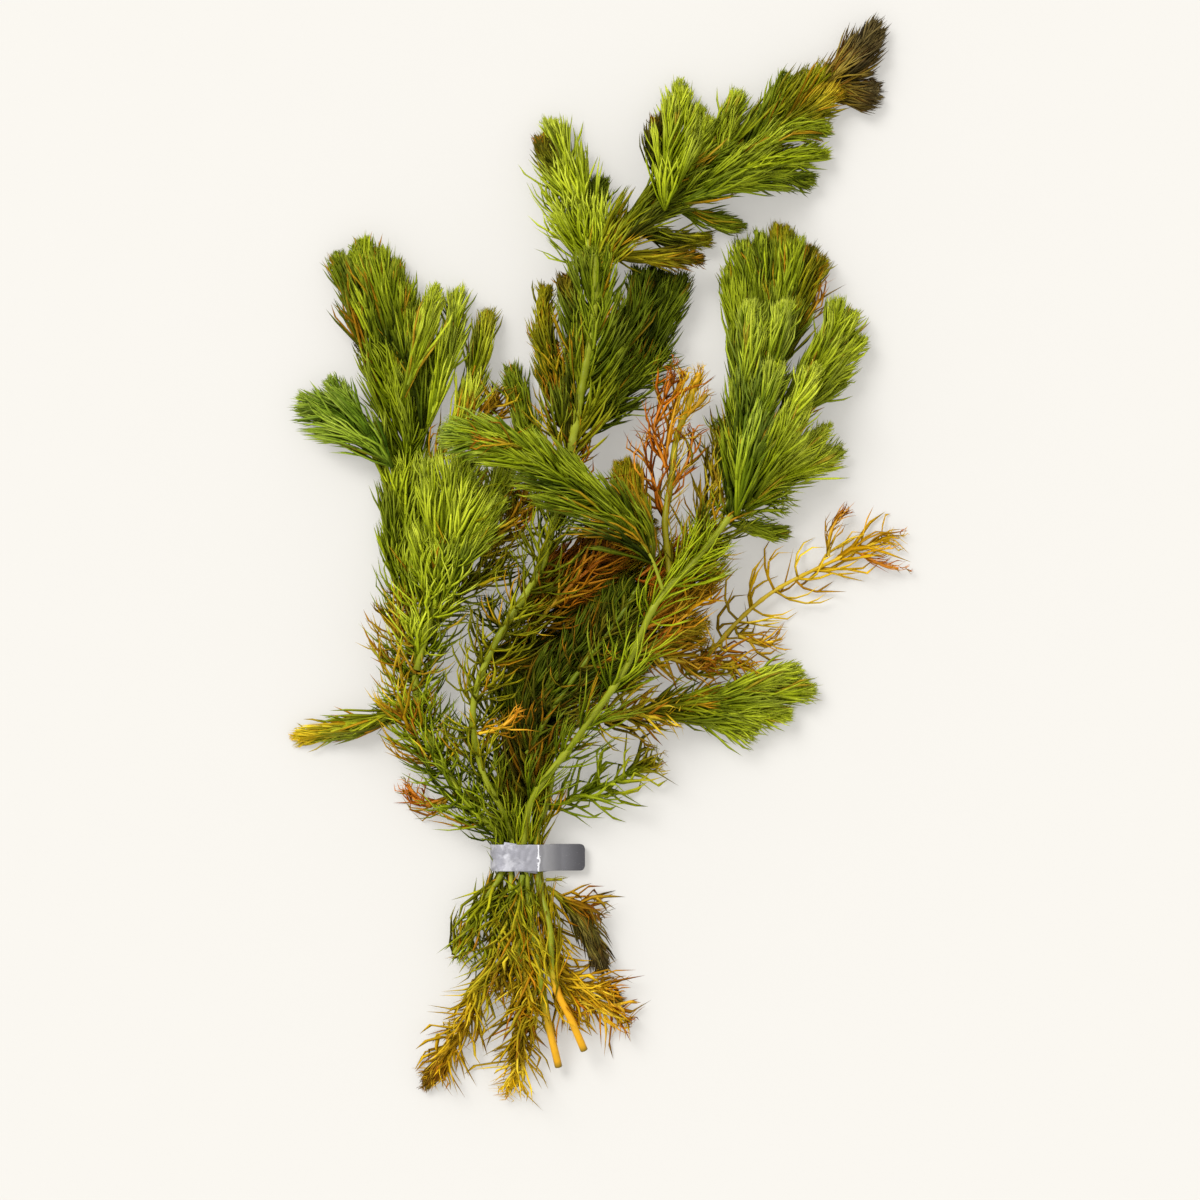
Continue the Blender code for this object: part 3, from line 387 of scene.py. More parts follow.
MIDDLE_PLANT = (
    Sprig("middle_stem", "green_stem", [
        shoot(OPEN, (OLIVE, (0.35, MID), (0.6, OLIVE), MID), (2.6, -34, 6.8, 0.9), (-0.8, -19, 9.2, 5),
            (-1.8, -6, 5, 1.5), (-1.9, 0, 4.7, 0.8), (-2, 5.5, 5, 0.9), (-3.6, 10.5, 6.8, 4),
            (-9, 21.8, 10.4, 8.5), (-10.8, 40.5, 12.4, 12.5), (-7.2, 50.8, 13, 12), (1.5, 65.2, 13.4, 12),
            (6, 73, 13.4, 11), (8.8, 84, 13.4, 10), (13, 102.5, 13.4, 9), bare=0.04, flatness=0.34,
            stem=(0.6, 1.0), stem_tones=STEM),
        shoot(CURL, (YELLOW, RUSTY), (-9.8, 31, 12, 1), (-5, 32.4, 14, 3), (1.6, 38, 14.6, 1.2),
            stem=(0.4, 0.25)),
        shoot(LACE, (OLIVE, RUSTY), (9, 84, 11.5, 3), (11.5, 94, 12, 8), (14.5, 106, 12.4, 9),
            stem=(0.5, 0.5), stem_tones=STEM)]),
    Sprig("middle_upper_stem", "deep_leaf", [
        shoot(FEATHER, (OLIVE, (0.4, MID)), (12.8, 101, 13.4, 4), (15.2, 114, 13.6, 12.5),
            (17.4, 126, 13.6, 14), (18.8, 136, 13.4, 13), (19, 147, 12.8, 9), (18.8, 153, 12, 6),
            flatness=0.14, stem=(1.05, 0.9), stem_tones=STEM),
        shoot(LOCK, (DEEP, OLIVE), (13.5, 108, 9, 4), (9, 122, 8, 5), (6.2, 134, 7, 4), (7.2, 143, 6, 1.2)),
        shoot(LOCK, DEEP, (18, 112, 8, 4), (24, 126, 8, 6), (29, 138, 8, 5), (31, 148, 7, 3)),
        shoot(OPEN, (OLIVE, GOLDEN), (13, 96, 12, 3), (11.4, 106, 10, 8), (10, 118, 9, 8), (9.4, 130, 8, 4),
            stem=(0.3, 0.2)),
        shoot(LOCK, (DEEP, EARTHY), (17, 126, 8, 4), (14, 136, 8, 5), (12, 146, 7, 2))]),
    Sprig("upper_left_tuft", "bright_leaf", [
        shoot(FEATHER, (BRIGHT, (0.5, PALE)), (18.4, 146, 12.2, 3), (16.2, 158, 10.2, 8),
            (13.2, 168, 7.8, 9.8), (10.2, 176.8, 4.2, 6.4), (8.4, 182.5, 2.6, 2.6), (7.6, 185.4, 2.2, 0.8),
            flatness=0.2, stem=(0.8, 0.4), stem_tones=(STEM, PALE)),
        shoot(LOCK, (MID, DEEP), (17.4, 154, 9, 3), (19.2, 163, 7, 4), (20.8, 170, 5, 1.2)),
        shoot(OPEN, (BRIGHT, PALE), (16, 148, 8, 3), (12, 157, 6, 8.5), (8.6, 167, 4, 7), (7.4, 176, 3, 2),
            stem=(0.3, 0.2)),
        shoot(LOCK, (MID, EARTHY), (12, 166, 6, 3), (7, 175, 4.5, 3.5), (5, 181, 3, 1.2))]),
    Sprig("long_spray", "mid_leaf", [
        shoot(BRUSH, (OLIVE, (0.3, MID), (0.75, MID), OLIVE), (19.6, 146.5, 12.6, 3), (26.5, 156.2, 11, 6),
            (34, 163, 9, 8.5), (42.8, 169.2, 6.8, 9.5), (54, 175.5, 5.4, 11), (65.2, 183, 4.4, 11.5),
            (73, 188.6, 3.8, 9.5), (79, 192.6, 3.4, 6.5), flatness=0.32),
        shoot(FLAME, FRESH, (47, 168, 6, 3.5), (51, 180, 5, 4), (55, 191.4, 3.5, 1)),
        shoot(FLAME, GREEN, (56, 175, 6, 4), (63, 187, 5.5, 4.5), (68, 196, 3.5, 1.6)),
        shoot(FLAME, (DEEP, BRIGHT, OLIVE), (63, 180, 6, 4), (71, 190, 5.5, 5), (77, 198, 3.5, 2)),
        shoot(FLAME, GREEN, (58, 176, 6.6, 4), (69, 181.6, 6, 5), (78.6, 181.6, 3.8, 1.5)),
        shoot(FLAME, FRESH, (38, 162, 8, 3), (44, 174, 7.5, 4.5), (48.6, 185, 5, 1.2)),
        shoot(FLAME, FRESH, (44, 165, 8, 3), (56, 174, 8, 5), (68, 183, 6, 2)),
        shoot(FLAME, (MID, OLIVE, GOLDEN), (66, 182, 6, 3), (74, 188, 6, 4), (80.6, 192.6, 5, 2)),
        shoot(OPEN, (OLIVE, GOLDEN), (19, 146, 11, 3), (24, 153, 10, 5), (30, 160, 9, 4), stem=(0.3, 0.2))]),
    Sprig("withered_tip", "withered_leaf", [
        shoot(SHEATH, (GOLDEN, (0.15, EARTHY), (0.3, WITHERED)), (75.5, 190.5, 3.6, 5), (80, 196, 3.4, 7.5),
            (84.5, 200.5, 3.2, 7.5), (88, 205, 2.8, 6), (90.6, 208.6, 2.4, 3))]),
    Sprig("withered_lobe", "withered_leaf", [
        shoot(SHEATH, (GOLDEN, (0.2, EARTHY), (0.4, WITHERED)), (75, 191.4, 3.4, 5), (81, 191.8, 3, 7),
            (87.5, 191.2, 2.6, 6.5), (91.6, 191.4, 2.2, 3))]),
    Sprig("spray_lower_lobe", "mid_leaf", [
        shoot(LOCK, MID, (44, 164, 10.8, 2.5), (57, 168.6, 10.8, 4.2), (67, 169.6, 6.2, 3.8),
            (74.6, 168.6, 2.2, 1)),
        shoot(LOCK, BRIGHT, (56, 170, 10, 3), (67, 174, 6.5, 4.5), (77.8, 176, 2.4, 1.2))]),
    Sprig("spray_side_sprig", "bright_leaf", [
        shoot(FEATHER, (BRIGHT, (0.6, PALE)), (36.4, 163, 12.6, 2), (37.6, 174, 11.8, 7),
            (39, 184, 6.6, 7.6), (40.4, 191, 3, 3), (40.6, 193.8, 2.4, 1.2), stem_tones=BRIGHT),
        shoot(LOCK, (DEEP, EARTHY), (35.4, 168, 9, 3), (34.2, 177, 7, 3.5), (34.6, 185.5, 4.5, 1.2)),
        shoot(LOCK, PALE, (39, 172, 9, 3), (43, 181, 6, 4), (45.8, 188, 4, 1.2))]),
    Sprig("spray_small_sprig", "mid_leaf", [
        shoot(SHEATH, MID, (40, 161.8, 5.8, 1.5), (48.6, 158.8, 4, 3.2), (56.4, 157.6, 2.4, 0.9))]),
    Sprig("olive_small_sprig", "olive_leaf", [
        shoot(LOCK, (MID, OLIVE), (29, 156.8, 8.2, 1.5), (38, 154.2, 4.6, 3.6), (48.2, 154, 2.6, 0.9))]),
    Sprig("thin_sprig", "olive_leaf", [
        shoot(LOCK, (OLIVE, EARTHY), (23, 149.6, 10.6, 1), (36, 149.4, 10, 2), (46.4, 149.2, 8.4, 0.7),
            stem=(0.4, 0.2))]),
    Sprig("deep_right_sprig", "deep_leaf", [
        shoot(BRUSH, (MID, (0.5, DEEP), (0.8, MID), DEEP), (14.4, 105.4, 10.7, 2), (22.5, 114.2, 6, 6.5),
            (29.2, 123, 4.6, 8.5), (34, 133, 4.4, 8.5), (37.6, 141.5, 4, 6.5), (39.6, 147.4, 3.4, 4),
            flatness=0.34),
        shoot(LOCK, DEEP, (25, 120, 6, 3), (29, 134, 5.5, 6), (33, 143.5, 4.5, 5), (35, 148, 4, 2.5)),
        shoot(OPEN, MID, (19, 106, 9, 2), (26, 115, 7, 5), (34, 122, 5, 6), (39, 128, 4, 2.5),
            stem=(0.4, 0.3))]),
    Sprig("narrow_sprig", "mid_leaf", [
        shoot(LOCK, MID, (10.2, 97.4, 11.2, 1.5), (3, 104.2, 8, 3.4), (0.2, 114.2, 5, 3.8),
            (-2.6, 123.2, 2.6, 0.9))]),
)

LEFT_PLANT = (
    Sprig("left_stem", "green_stem", [
        shoot(OPEN, (OLIVE, (0.4, MID), (0.8, BRIGHT)), (-16.2, -24, 2.8, 3), (-12, -15.5, 4, 5),
            (-7.6, -9, 4.8, 2), (-4.3, -4, 4.6, 0.8), (-4.1, 0, 4.5, 0.8), (-4.4, 5, 4.6, 0.8),
            (-11.6, 12, 6.2, 5), (-17.6, 20.8, 7, 9), (-22, 30, 7.4, 11), (-24.6, 36.5, 7.4, 12),
            (-25.6, 43, 7.4, 12.5), (-25.4, 48.5, 7.6, 12), (-24.6, 54, 8.6, 11), flatness=0.34,
            stem=(0.6, 1.0), stem_tones=STEM),
        shoot(OPEN, (YELLOW, (0.5, GOLDEN)), (-23, 24, 7, 4), (-27.4, 36, 7.4, 12.5), (-29.4, 48, 7.4, 13),
            (-30, 60, 7, 12), (-30, 70, 6, 8), stem=(0.4, 0.3)),
        shoot(OPEN, (BRIGHT, MID), (-10, 10, 7, 4), (-18.4, 21, 8, 11), (-23.4, 34, 8, 13), (-25, 46, 8, 12),
            stem=(0.4, 0.3))]),
    Sprig("left_front_tuft", "bright_leaf", [
        shoot(OPEN, (OLIVE, (0.4, PALE)), (-25.4, 47, 9, 7), (-22.4, 58.2, 12, 12), (-19.8, 66.2, 13.2, 12),
            (-18, 75, 13.6, 11), (-16.4, 84, 13.6, 8), stem=(0.9, 0.6), stem_tones=(STEM, BRIGHT)),
        shoot(OPEN, (PALE, OLIVE), (-23.4, 52, 9, 5), (-20.4, 62.2, 11, 12), (-18, 72, 12, 10),
            stem=(0.3, 0.3)),
        shoot(OPEN, (BRIGHT, (0.6, PALE)), (-25, 50, 10, 5), (-24, 60, 12, 9), (-23, 72, 13, 9),
            (-22, 82, 13, 4), stem=(0.3, 0.3)),
        shoot(FEATHER, (MID, (0.4, BRIGHT), PALE), (-21, 62, 13, 3), (-18.6, 74, 13.6, 9),
            (-16, 85, 13.6, 12), (-14, 93, 13.2, 11.5), (-12.6, 101.4, 12.8, 6.5), flatness=0.26,
            stem=(0.7, 0.4), stem_tones=BRIGHT),
        shoot(FLAME, (MID, BRIGHT, PALE), (-19, 68, 13, 3), (-10.5, 80, 13, 4.4), (-3.4, 90.6, 12.5, 1)),
        shoot(FLAME, (MID, BRIGHT, PALE), (-20, 72, 13, 3), (-21.4, 86, 13, 3.8), (-22.4, 99.6, 12, 1)),
        shoot(FLAME, FRESH, (-19, 72, 14, 3), (-15.4, 88, 14, 5), (-12.6, 101.4, 13, 2)),
        shoot(FEATHER, FRESH, (-17, 73, 10, 3), (-9.6, 84, 10, 5.5), (-4.6, 93, 9.6, 4.5),
            (-2.6, 98.6, 9, 1.5)),
        shoot(LACE, (OLIVE, GOLDEN, OLIVE), (-14, 66, 8, 3), (-8, 75, 8, 6), (-2, 84, 8, 7), (1, 94, 8, 5),
            stem=(0.4, 0.3)),
        shoot(OPEN, (OLIVE, (0.6, GOLDEN), RUSTY), (-12, 76, 9, 4), (-5, 82, 9, 8), (1, 89, 9, 8),
            (5, 96, 9, 4), stem=(0.4, 0.3)),
        shoot(LACE, (OLIVE, MID), (-12, 84, 10, 3), (-6, 92, 10, 7), (-1, 98, 10, 5), stem=(0.4, 0.3)),
        shoot(OPEN, (MID, OLIVE), (-21, 60, 10, 4), (-14, 66, 10, 9), (-6, 72, 9, 8), (0, 78, 8, 3),
            stem=(0.4, 0.3))]),
    Sprig("left_back_tuft", "mid_leaf", [
        shoot(OPEN, (MID, BRIGHT, MID), (-25.6, 45, 6.2, 4), (-27.5, 57, 4.6, 9), (-27.8, 68, 4.4, 9),
            (-27.8, 80, 4.4, 7.5), (-27.8, 90, 4.4, 4), stem=(0.5, 0.4)),
        shoot(BRUSH, (BRIGHT, (0.3, MID), (0.5, BRIGHT), (0.8, MID), BRIGHT), (-27, 62, 4.6, 3),
            (-28.6, 76, 4.4, 6), (-28.6, 88, 4.4, 8), (-28, 97, 4.4, 9), (-28.4, 106.8, 4.2, 10.5),
            (-30.5, 116.8, 4.3, 12), (-33.2, 129.2, 4.2, 9.8), (-36, 140, 3.6, 7), (-38, 147, 2.8, 3.2),
            flatness=0.32),
        shoot(FLAME, (EARTHY, (0.4, DEEP), MID), (-36, 118, 5, 2.5), (-40, 132, 4, 3), (-43.6, 144, 3.4, 2),
            (-45.6, 151.6, 3, 0.8)),
        shoot(FLAME, GREEN, (-35, 128, 5, 4), (-38.6, 142, 4.6, 4.5), (-41.4, 153, 3.4, 1.6)),
        shoot(FLAME, GREEN, (-33, 130, 6, 4), (-36.4, 144, 5, 4), (-38.6, 155, 3.4, 1.2)),
        shoot(FLAME, GREEN, (-30, 128, 6, 4), (-33.4, 142, 5, 4), (-34.6, 152.6, 3.4, 1.2)),
        shoot(FLAME, GREEN, (-27.6, 124, 6, 4), (-30.4, 138, 5, 4), (-30.6, 149.6, 3.4, 1.2)),
        shoot(FLAME, GREEN, (-26.4, 118, 6, 4), (-28, 132, 5, 4), (-27.6, 143.4, 3.4, 1.2)),
        shoot(FLAME, GREEN, (-24, 110, 6, 4), (-24, 122, 5.5, 4.5), (-24.6, 133, 4, 1.5)),
        shoot(TWIG, EARTHY, (-33, 120, 4, 2), (-37.6, 125, 3, 2.5), (-41.2, 130, 2, 1))]),
    Sprig("left_side_tuft", "deep_leaf", [
        shoot(BRUSH, COOL, (-32.6, 98.6, 8, 2.5), (-40, 106, 8, 7.5), (-47, 110.8, 4.8, 8.5),
            (-52.6, 113.4, 2.8, 5.6), (-55.6, 114.6, 2.3, 2.4)),
        shoot(LOCK, COOL, (-39, 108, 9, 2.5), (-43.6, 115, 6.5, 4), (-47.6, 120.2, 4, 1.2))]),
    Sprig("left_inner_lobe", "mid_leaf", [
        shoot(FLAME, SUNLIT, (-27.6, 117.6, 9.2, 2.5), (-23.4, 131.8, 8.6, 4), (-20.4, 143.2, 3.4, 0.8))]),
    Sprig("left_middle_lobe", "olive_leaf", [
        shoot(FLAME, (BRIGHT, (0.5, PALE)), (-21.6, 110.6, 8.4, 2.5), (-17.4, 127, 6, 3.2),
            (-14.8, 142.2, 2, 0.8))]),
    Sprig("left_outer_lobe", "olive_leaf", [
        shoot(FLAME, (OLIVE, (0.4, BRIGHT), (0.7, PALE), OLIVE), (-21, 98.2, 6.4, 2), (-14.5, 109.6, 6, 2.8),
            (-10.4, 122, 4, 3.4), (-8.6, 131, 3, 2.6), (-7.4, 137.4, 1.8, 0.8)),
        shoot(LACE, (OLIVE, RUSTY, OLIVE), (-21, 100, 6, 3), (-13, 106, 6, 8), (-6.6, 113, 5, 6),
            (-4, 119, 4, 2), stem=(0.4, 0.3))]),
    Sprig("yellow_tip_sprig", "bright_leaf", [
        shoot(FLAME, (OLIVE, (0.4, MID), (0.8, BRIGHT), YELLOW), (-25.4, 38.6, 5.4, 1),
            (-33.4, 34.6, 4.4, 2.8), (-40.4, 32.4, 2.8, 3.2), (-48.5, 31, 2, 2.6), (-56.6, 30, 1.1, 0.8),
            stem=(0.5, 0.2)),
        shoot(OPEN, MID, (-26, 39, 5, 1), (-32, 37, 4, 4), (-38, 36, 3, 2), stem=(0.3, 0.2))]),
    Sprig("curled_leaf", "rusty_leaf", [
        shoot(CURL, (OLIVE, (0.4, RUSTY)), (-16, 15.4, 5.6, 0.9), (-22.4, 13, 3.8, 2.4),
            (-26.8, 16.6, 2.6, 2.2), (-29.8, 20.4, 1.8, 0.7), stem=(0.5, 0.3),
            stem_tones=(OLIVE, (0.4, RUSTY))),
        shoot(CURL, RUSTY, (-20, 14, 4.6, 0.9), (-25, 13.6, 3, 1.6), (-28.6, 18, 2, 0.7), stem=(0.4, 0.2))]),
)

HEART = (
    Sprig("heart_sprig", "deep_leaf", [
        shoot(BRUSH, (OLIVE, (0.3, EARTHY), (0.6, DEEP)), (3.6, -9, 2.6, 0.9), (2.9, -4, 2.3, 0.9),
            (2.8, 0, 2.3, 0.8), (3.1, 5, 2.6, 0.9), (5, 14, 5, 2), (4.4, 36, 9.8, 9.5),
            (10.5, 43.8, 11.4, 11), (16.8, 50.5, 11.8, 11.5), (22.8, 59.2, 11.8, 10), (30, 69.2, 11, 5),
            bare=0.2, flatness=0.3, stem_tones=(STEM, OLIVE)),
        shoot(LACE, (OLIVE, GOLDEN, EARTHY), (6, 22, 6, 3), (12, 32, 7, 7), (20, 42, 8, 8), (28, 50, 8, 5),
            stem=(0.5, 0.3))]),
    Sprig("heart_low_sprig", "deep_leaf", [
        shoot(OPEN, (DEEP, (0.6, EARTHY), DEEP), (2, 26, 9, 5), (9, 38, 13, 10), (17, 49, 15, 11),
            (25, 60, 15.6, 10), (31, 70, 15, 6), stem=(0.6, 0.5), stem_tones=MID),
        shoot(BRUSH, (EARTHY, (0.5, DEEP)), (-6, 49.8, 10.8, 2), (2.8, 50.6, 5.8, 8.5),
            (10.2, 54.2, 4.2, 10.5), (20, 58, 4, 11), (31, 62, 3.6, 9), (38, 65, 3.4, 5), flatness=0.34),
        shoot(BRUSH, (DEEP, OLIVE), (-2, 26, 4, 3), (4, 38, 4, 8.5), (14, 43, 4, 10), (25, 48, 3.6, 9),
            (34, 52, 3.4, 4), flatness=0.34)]),
    Sprig("heart_high_sprig", "rusty_leaf", [
        shoot(OPEN, (OLIVE, RUSTY, EARTHY), (4, 58, 9, 5), (12, 67, 12, 9), (21, 75, 13, 9), (29, 84, 12, 5),
            stem=(0.5, 0.4)),
        shoot(OPEN, (OLIVE, MID, DEEP), (4, 60, 6, 5), (-1, 54, 5, 9), (-6, 60, 4, 9), (-8, 68, 4, 6),
            stem=(0.4, 0.3)),
        shoot(BRUSH, (EARTHY, RUSTY, OLIVE), (1, 61, 9.6, 2), (8, 67.8, 5.8, 7.5), (17.8, 74.2, 4.2, 9.5),
            (27.8, 80.6, 4.2, 9), (34, 86, 3.6, 4), flatness=0.34),
        shoot(BRUSH, (EARTHY, OLIVE), (8, 60, 5, 3), (20, 64, 4.4, 8.5), (32, 68, 4, 10), (42, 73, 3.6, 5),
            flatness=0.34)]),
    Sprig("low_tuft", "deep_leaf", [
        shoot(OPEN, (DEEP, MID, EARTHY), (-0.6, 10, 3.4, 3), (-5, 22, 4.4, 9), (-6.6, 34, 4.4, 11),
            (-6, 46, 4.4, 11), (-4, 56, 4.4, 6), stem=(0.5, 0.4)),
        shoot(BRUSH, (DEEP, MID), (-0.6, 14, 3.2, 3), (0.4, 28, 4, 7), (0, 40, 4, 8), (2, 50, 4, 4),
            flatness=0.3),
        shoot(TUFT, (DEEP, EARTHY), (0.5, -8, 2.5, 0.9), (0.5, 0, 2.3, 0.8), (0.4, 5, 2.5, 2),
            (-0.6, 14, 3.2, 6), (0.4, 24, 4, 8), (4, 34, 3.8, 5), bare=0.25, flatness=0.4)]),
)

FOOT = (
    Sprig("left_foot_sprig", "olive_leaf", [
        shoot(LACE, (OLIVE, (0.4, BRIGHT), (0.7, GOLDEN), YELLOW), (-4.2, 8, 2.4, 0.9),
            (-4.3, 3.5, 2.3, 0.8), (-4.4, -4, 2.3, 2), (-6, -18.8, 3.2, 7), (-9.4, -32.2, 3.6, 6.5),
            (-12.2, -40.2, 3.4, 4.5), (-17.2, -47.6, 2.4, 4), (-22.4, -56.2, 1.6, 1.8), bare=0.16,
            stem=(0.6, 0.3), stem_tones=(STEM, GOLDEN)),
        shoot(LACE, (OLIVE, BRIGHT), (-4.6, -5, 4, 2), (-9, -13, 5, 4), (-12, -21, 4, 3),
            (-14, -27, 2.6, 1.2), stem=(0.4, 0.2)),
        shoot(LACE, (BRIGHT, (0.6, YELLOW), GOLDEN), (-8, -28, 4, 1.5), (-13, -38, 4, 4), (-17, -45, 3, 2),
            stem=(0.4, 0.2)),
        shoot(SHEATH, (GOLDEN, (0.4, RUSTY), EARTHY), (-16, -46, 2.4, 1.6), (-20.4, -52.6, 2.2, 2.6),
            (-23.6, -57.6, 1.4, 1.2))]),
    Sprig("middle_foot_sprig", "yellow_leaf", [
        shoot(LACE, (MID, (0.4, OLIVE), (0.7, GOLDEN), YELLOW), (-1.9, 5.8, 2.3, 0.8), (-1.9, 0, 2.3, 0.8),
            (-1.6, -6, 2.3, 3), (-0.6, -20, 2.8, 6), (0.6, -33, 3.2, 6.5), (0.4, -42, 3.2, 4.5),
            (-0.4, -51, 2.6, 2.6), (-3.4, -60, 1.4, 1), bare=0.16, stem=(0.6, 0.3)),
        shoot(LACE, (MID, OLIVE, GOLDEN), (1, -4.5, 6, 2), (-1.6, -15, 8.4, 6), (-3.6, -27, 8, 6.5),
            (-4.6, -37, 5, 3), stem=(0.5, 0.3)),
        shoot(LACE, (MID, (0.4, OLIVE), YELLOW), (0.6, -4.5, 6, 1.5), (0.6, -16, 9, 2.6), (1.8, -29, 9, 3.6),
            (3, -41, 7, 4), stem=(0.5, 0.3)),
        shoot(LACE, (OLIVE, GOLDEN), (6, -24, 8, 2), (4, -34, 8, 5), (1, -44, 5, 4), (-1, -52, 3, 1.5),
            stem=(0.4, 0.2))]),
    Sprig("right_foot_sprig", "yellow_leaf", [
        shoot(LACE, (OLIVE, (0.4, GOLDEN), (0.6, YELLOW), (0.85, YELLOW), RUSTY), (5.4, 5.6, 2.1, 0.8),
            (5.3, 0, 2.1, 0.8), (5.6, -6, 2.2, 1), (8.2, -20, 2.8, 1.4), (12.6, -31, 3.2, 6.5),
            (19, -35.8, 3.2, 7), (24.6, -39.6, 2.8, 4.6), (29, -42, 1.8, 1.4), bare=0.2, stem=(0.6, 0.3),
            stem_tones=(STEM, (0.6, GOLDEN))),
        shoot(LACE, (GOLDEN, (0.6, YELLOW), RUSTY), (10, -30, 5, 1.5), (16, -31.6, 5, 4.5),
            (22, -32.6, 3.6, 3.5), (26, -35.6, 2.6, 1), stem=(0.4, 0.2)),
        shoot(LACE, (GOLDEN, (0.6, YELLOW)), (9, -31, 5, 1.5), (12.6, -38, 4, 4), (17, -42, 3, 2),
            stem=(0.4, 0.2)),
        shoot(SHEATH, (GOLDEN, EARTHY), (20, -33.6, 3.6, 0.8), (23.4, -34.8, 3, 1.6),
            (25.6, -36, 2.4, 0.8))]),
    Sprig("withered_cone", "withered_leaf", [
        shoot(SHEATH, (OLIVE, (0.3, OLIVE), (0.5, WITHERED)), (8.4, -8.4, 5.5, 0.3), (13.8, -13.4, 4.2, 0.8),
            (17.2, -18.8, 3.6, 2.8), (19.4, -23.8, 3.2, 2.9), (21.4, -29, 2.6, 1), stem=(0.5, 0.3)),
        shoot(LACE, (OLIVE, (0.6, RUSTY), EARTHY), (8.6, -9, 5, 1), (14, -11, 4.8, 2.2), (18.6, -12.8, 4, 2),
            (21.6, -15.4, 3, 1), stem=(0.35, 0.2))]),
    Sprig("small_leaf", "yellow_leaf", [
        shoot(WISP, OLIVE, (6.7, -5.6, 4.7, 0.5), (10.6, -5.6, 4.2, 1.2), (13.6, -5.8, 3.6, 0.4),
            stem=(0.4, 0.2))]),
)


class Reading:
    """A shader number on a socket, so that shader maths can be written as an expression."""

    def __init__(self, recipe: "Recipe", socket: Socket) -> None:
        """Keep the recipe that the number belongs to and its socket."""
        self.recipe = recipe
        self.socket = socket

    def _math(self, operation: str, first: Any, second: Any) -> "Reading":
        """Add one Math node."""
        return self.recipe.reading("ShaderNodeMath", {"operation": operation}, {0: first, 1: second})

    def __add__(self, other: Any) -> "Reading":
        """Add."""
        return self._math("ADD", self, other)

    __radd__ = __add__

    def __sub__(self, other: Any) -> "Reading":
        """Take away."""
        return self._math("SUBTRACT", self, other)

    def __rsub__(self, other: Any) -> "Reading":
        """Take this away from a number."""
        return self._math("SUBTRACT", other, self)

    def __mul__(self, other: Any) -> "Reading":
        """Multiply."""
        return self._math("MULTIPLY", self, other)

    __rmul__ = __mul__

    def between(self, low: float, high: float) -> "Reading":
        """Ease from 0 at low to 1 at high."""
        return self.recipe.reading(
            "ShaderNodeMapRange", {"interpolation_type": "SMOOTHSTEP", "clamp": True},
            {"Value": self, "From Min": low, "From Max": high})

    def past(self, border: Span) -> "Reading":
        """Ease from 0 to 1 across a border that is given in millimetres."""
        return self.between(border[0] * MM, border[1] * MM)


class Recipe:
    """Builds one material's nodes round its shader."""

    def __init__(self, name: str) -> None:
        """Start a material with a bare shader.

        Args:
            name: the material's name.
        """
        self.material = bpy.data.materials.new(name)
        self.material.use_nodes = True
        self.tree = self.material.node_tree
        self.shader = self.tree.nodes["Principled BSDF"]

    def node(self, kind: str, settings: dict[str, Any], inputs: dict[Any, Any]) -> bpy.types.Node:
        """Add a node.

        Args:
            kind: its type.
            settings: what is set on the node itself.
            inputs: the value or link of each socket, by name or number.

        Returns:
            The node.
        """
        made = self.tree.nodes.new(kind)
        for key, value in settings.items():
            setattr(made, key, value)
        for key, value in inputs.items():
            self.feed(made.inputs[key], value)
        return made

    def feed(self, socket: Socket, value: Any) -> None:
        """Link a socket or set its value.

        Args:
            socket: the socket to feed.
            value: a Reading or another socket to link, or a plain value.
        """
        if isinstance(value, Reading):
            self.tree.links.new(value.socket, socket)
        elif isinstance(value, Socket):
            self.tree.links.new(value, socket)
        else:
            socket.default_value = value

    def reading(self, kind: str, settings: dict[str, Any], inputs: dict[Any, Any]) -> Reading:
        """Add a node and wrap its first output."""
        return Reading(self, self.node(kind, settings, inputs).outputs[0])

    def place(self) -> Socket:
        """Give the piece's own coordinates."""
        return self.node("ShaderNodeTexCoord", {}, {}).outputs["Object"]

    def own_colour(self) -> Socket:
        """Give the colour that each vertex carries."""
        return self.node("ShaderNodeAttribute", {"attribute_name": "leaf_colour"}, {}).outputs["Color"]

    def noise(self, scale: float, detail: float = 2, roughness: float = 0.5, vector: Any = None) -> Reading:
        """Give soft noise.

        Args:
            scale: its cells for each metre.
            detail: how many finer layers it has.
            roughness: how strong those are.
            vector: where it is read, if not at the piece's own coordinates.

        Returns:
            The noise, from 0 to 1.
        """
        inputs = {"Vector": vector or self.place(), "Scale": scale, "Detail": detail, "Roughness": roughness}
        return self.reading("ShaderNodeTexNoise", {}, inputs)

    def mix(self, share: Any, first: Any, second: Any, blend: str = "MIX") -> Socket:
        """Mix two colours.

        Args:
            share: how much of the second colour is taken.
            first: the first colour.
            second: the second colour.
            blend: how the second colour is laid on the first.

        Returns:
            The mixed colour.
        """
        made = self.node("ShaderNodeMix", {"data_type": "RGBA", "blend_type": blend}, {0: share})
        self.feed(made.inputs[6], first)
        self.feed(made.inputs[7], second)
        return made.outputs[2]

    def bump(self, height: Any, distance: float, strength: float) -> Socket:
        """Turn a height into a bumped normal."""
        inputs = {"Height": height, "Distance": distance, "Strength": strength}
        return self.node("ShaderNodeBump", {}, inputs).outputs["Normal"]

    def finish(self, **sockets: Any) -> Material:
        """Feed the shader and give the material.

        Args:
            **sockets: what each socket takes, its name written with underscores for spaces.

        Returns:
            The material.
        """
        for name, value in sockets.items():
            self.feed(self.shader.inputs[name.replace("_", " ")], value)
        return self.material


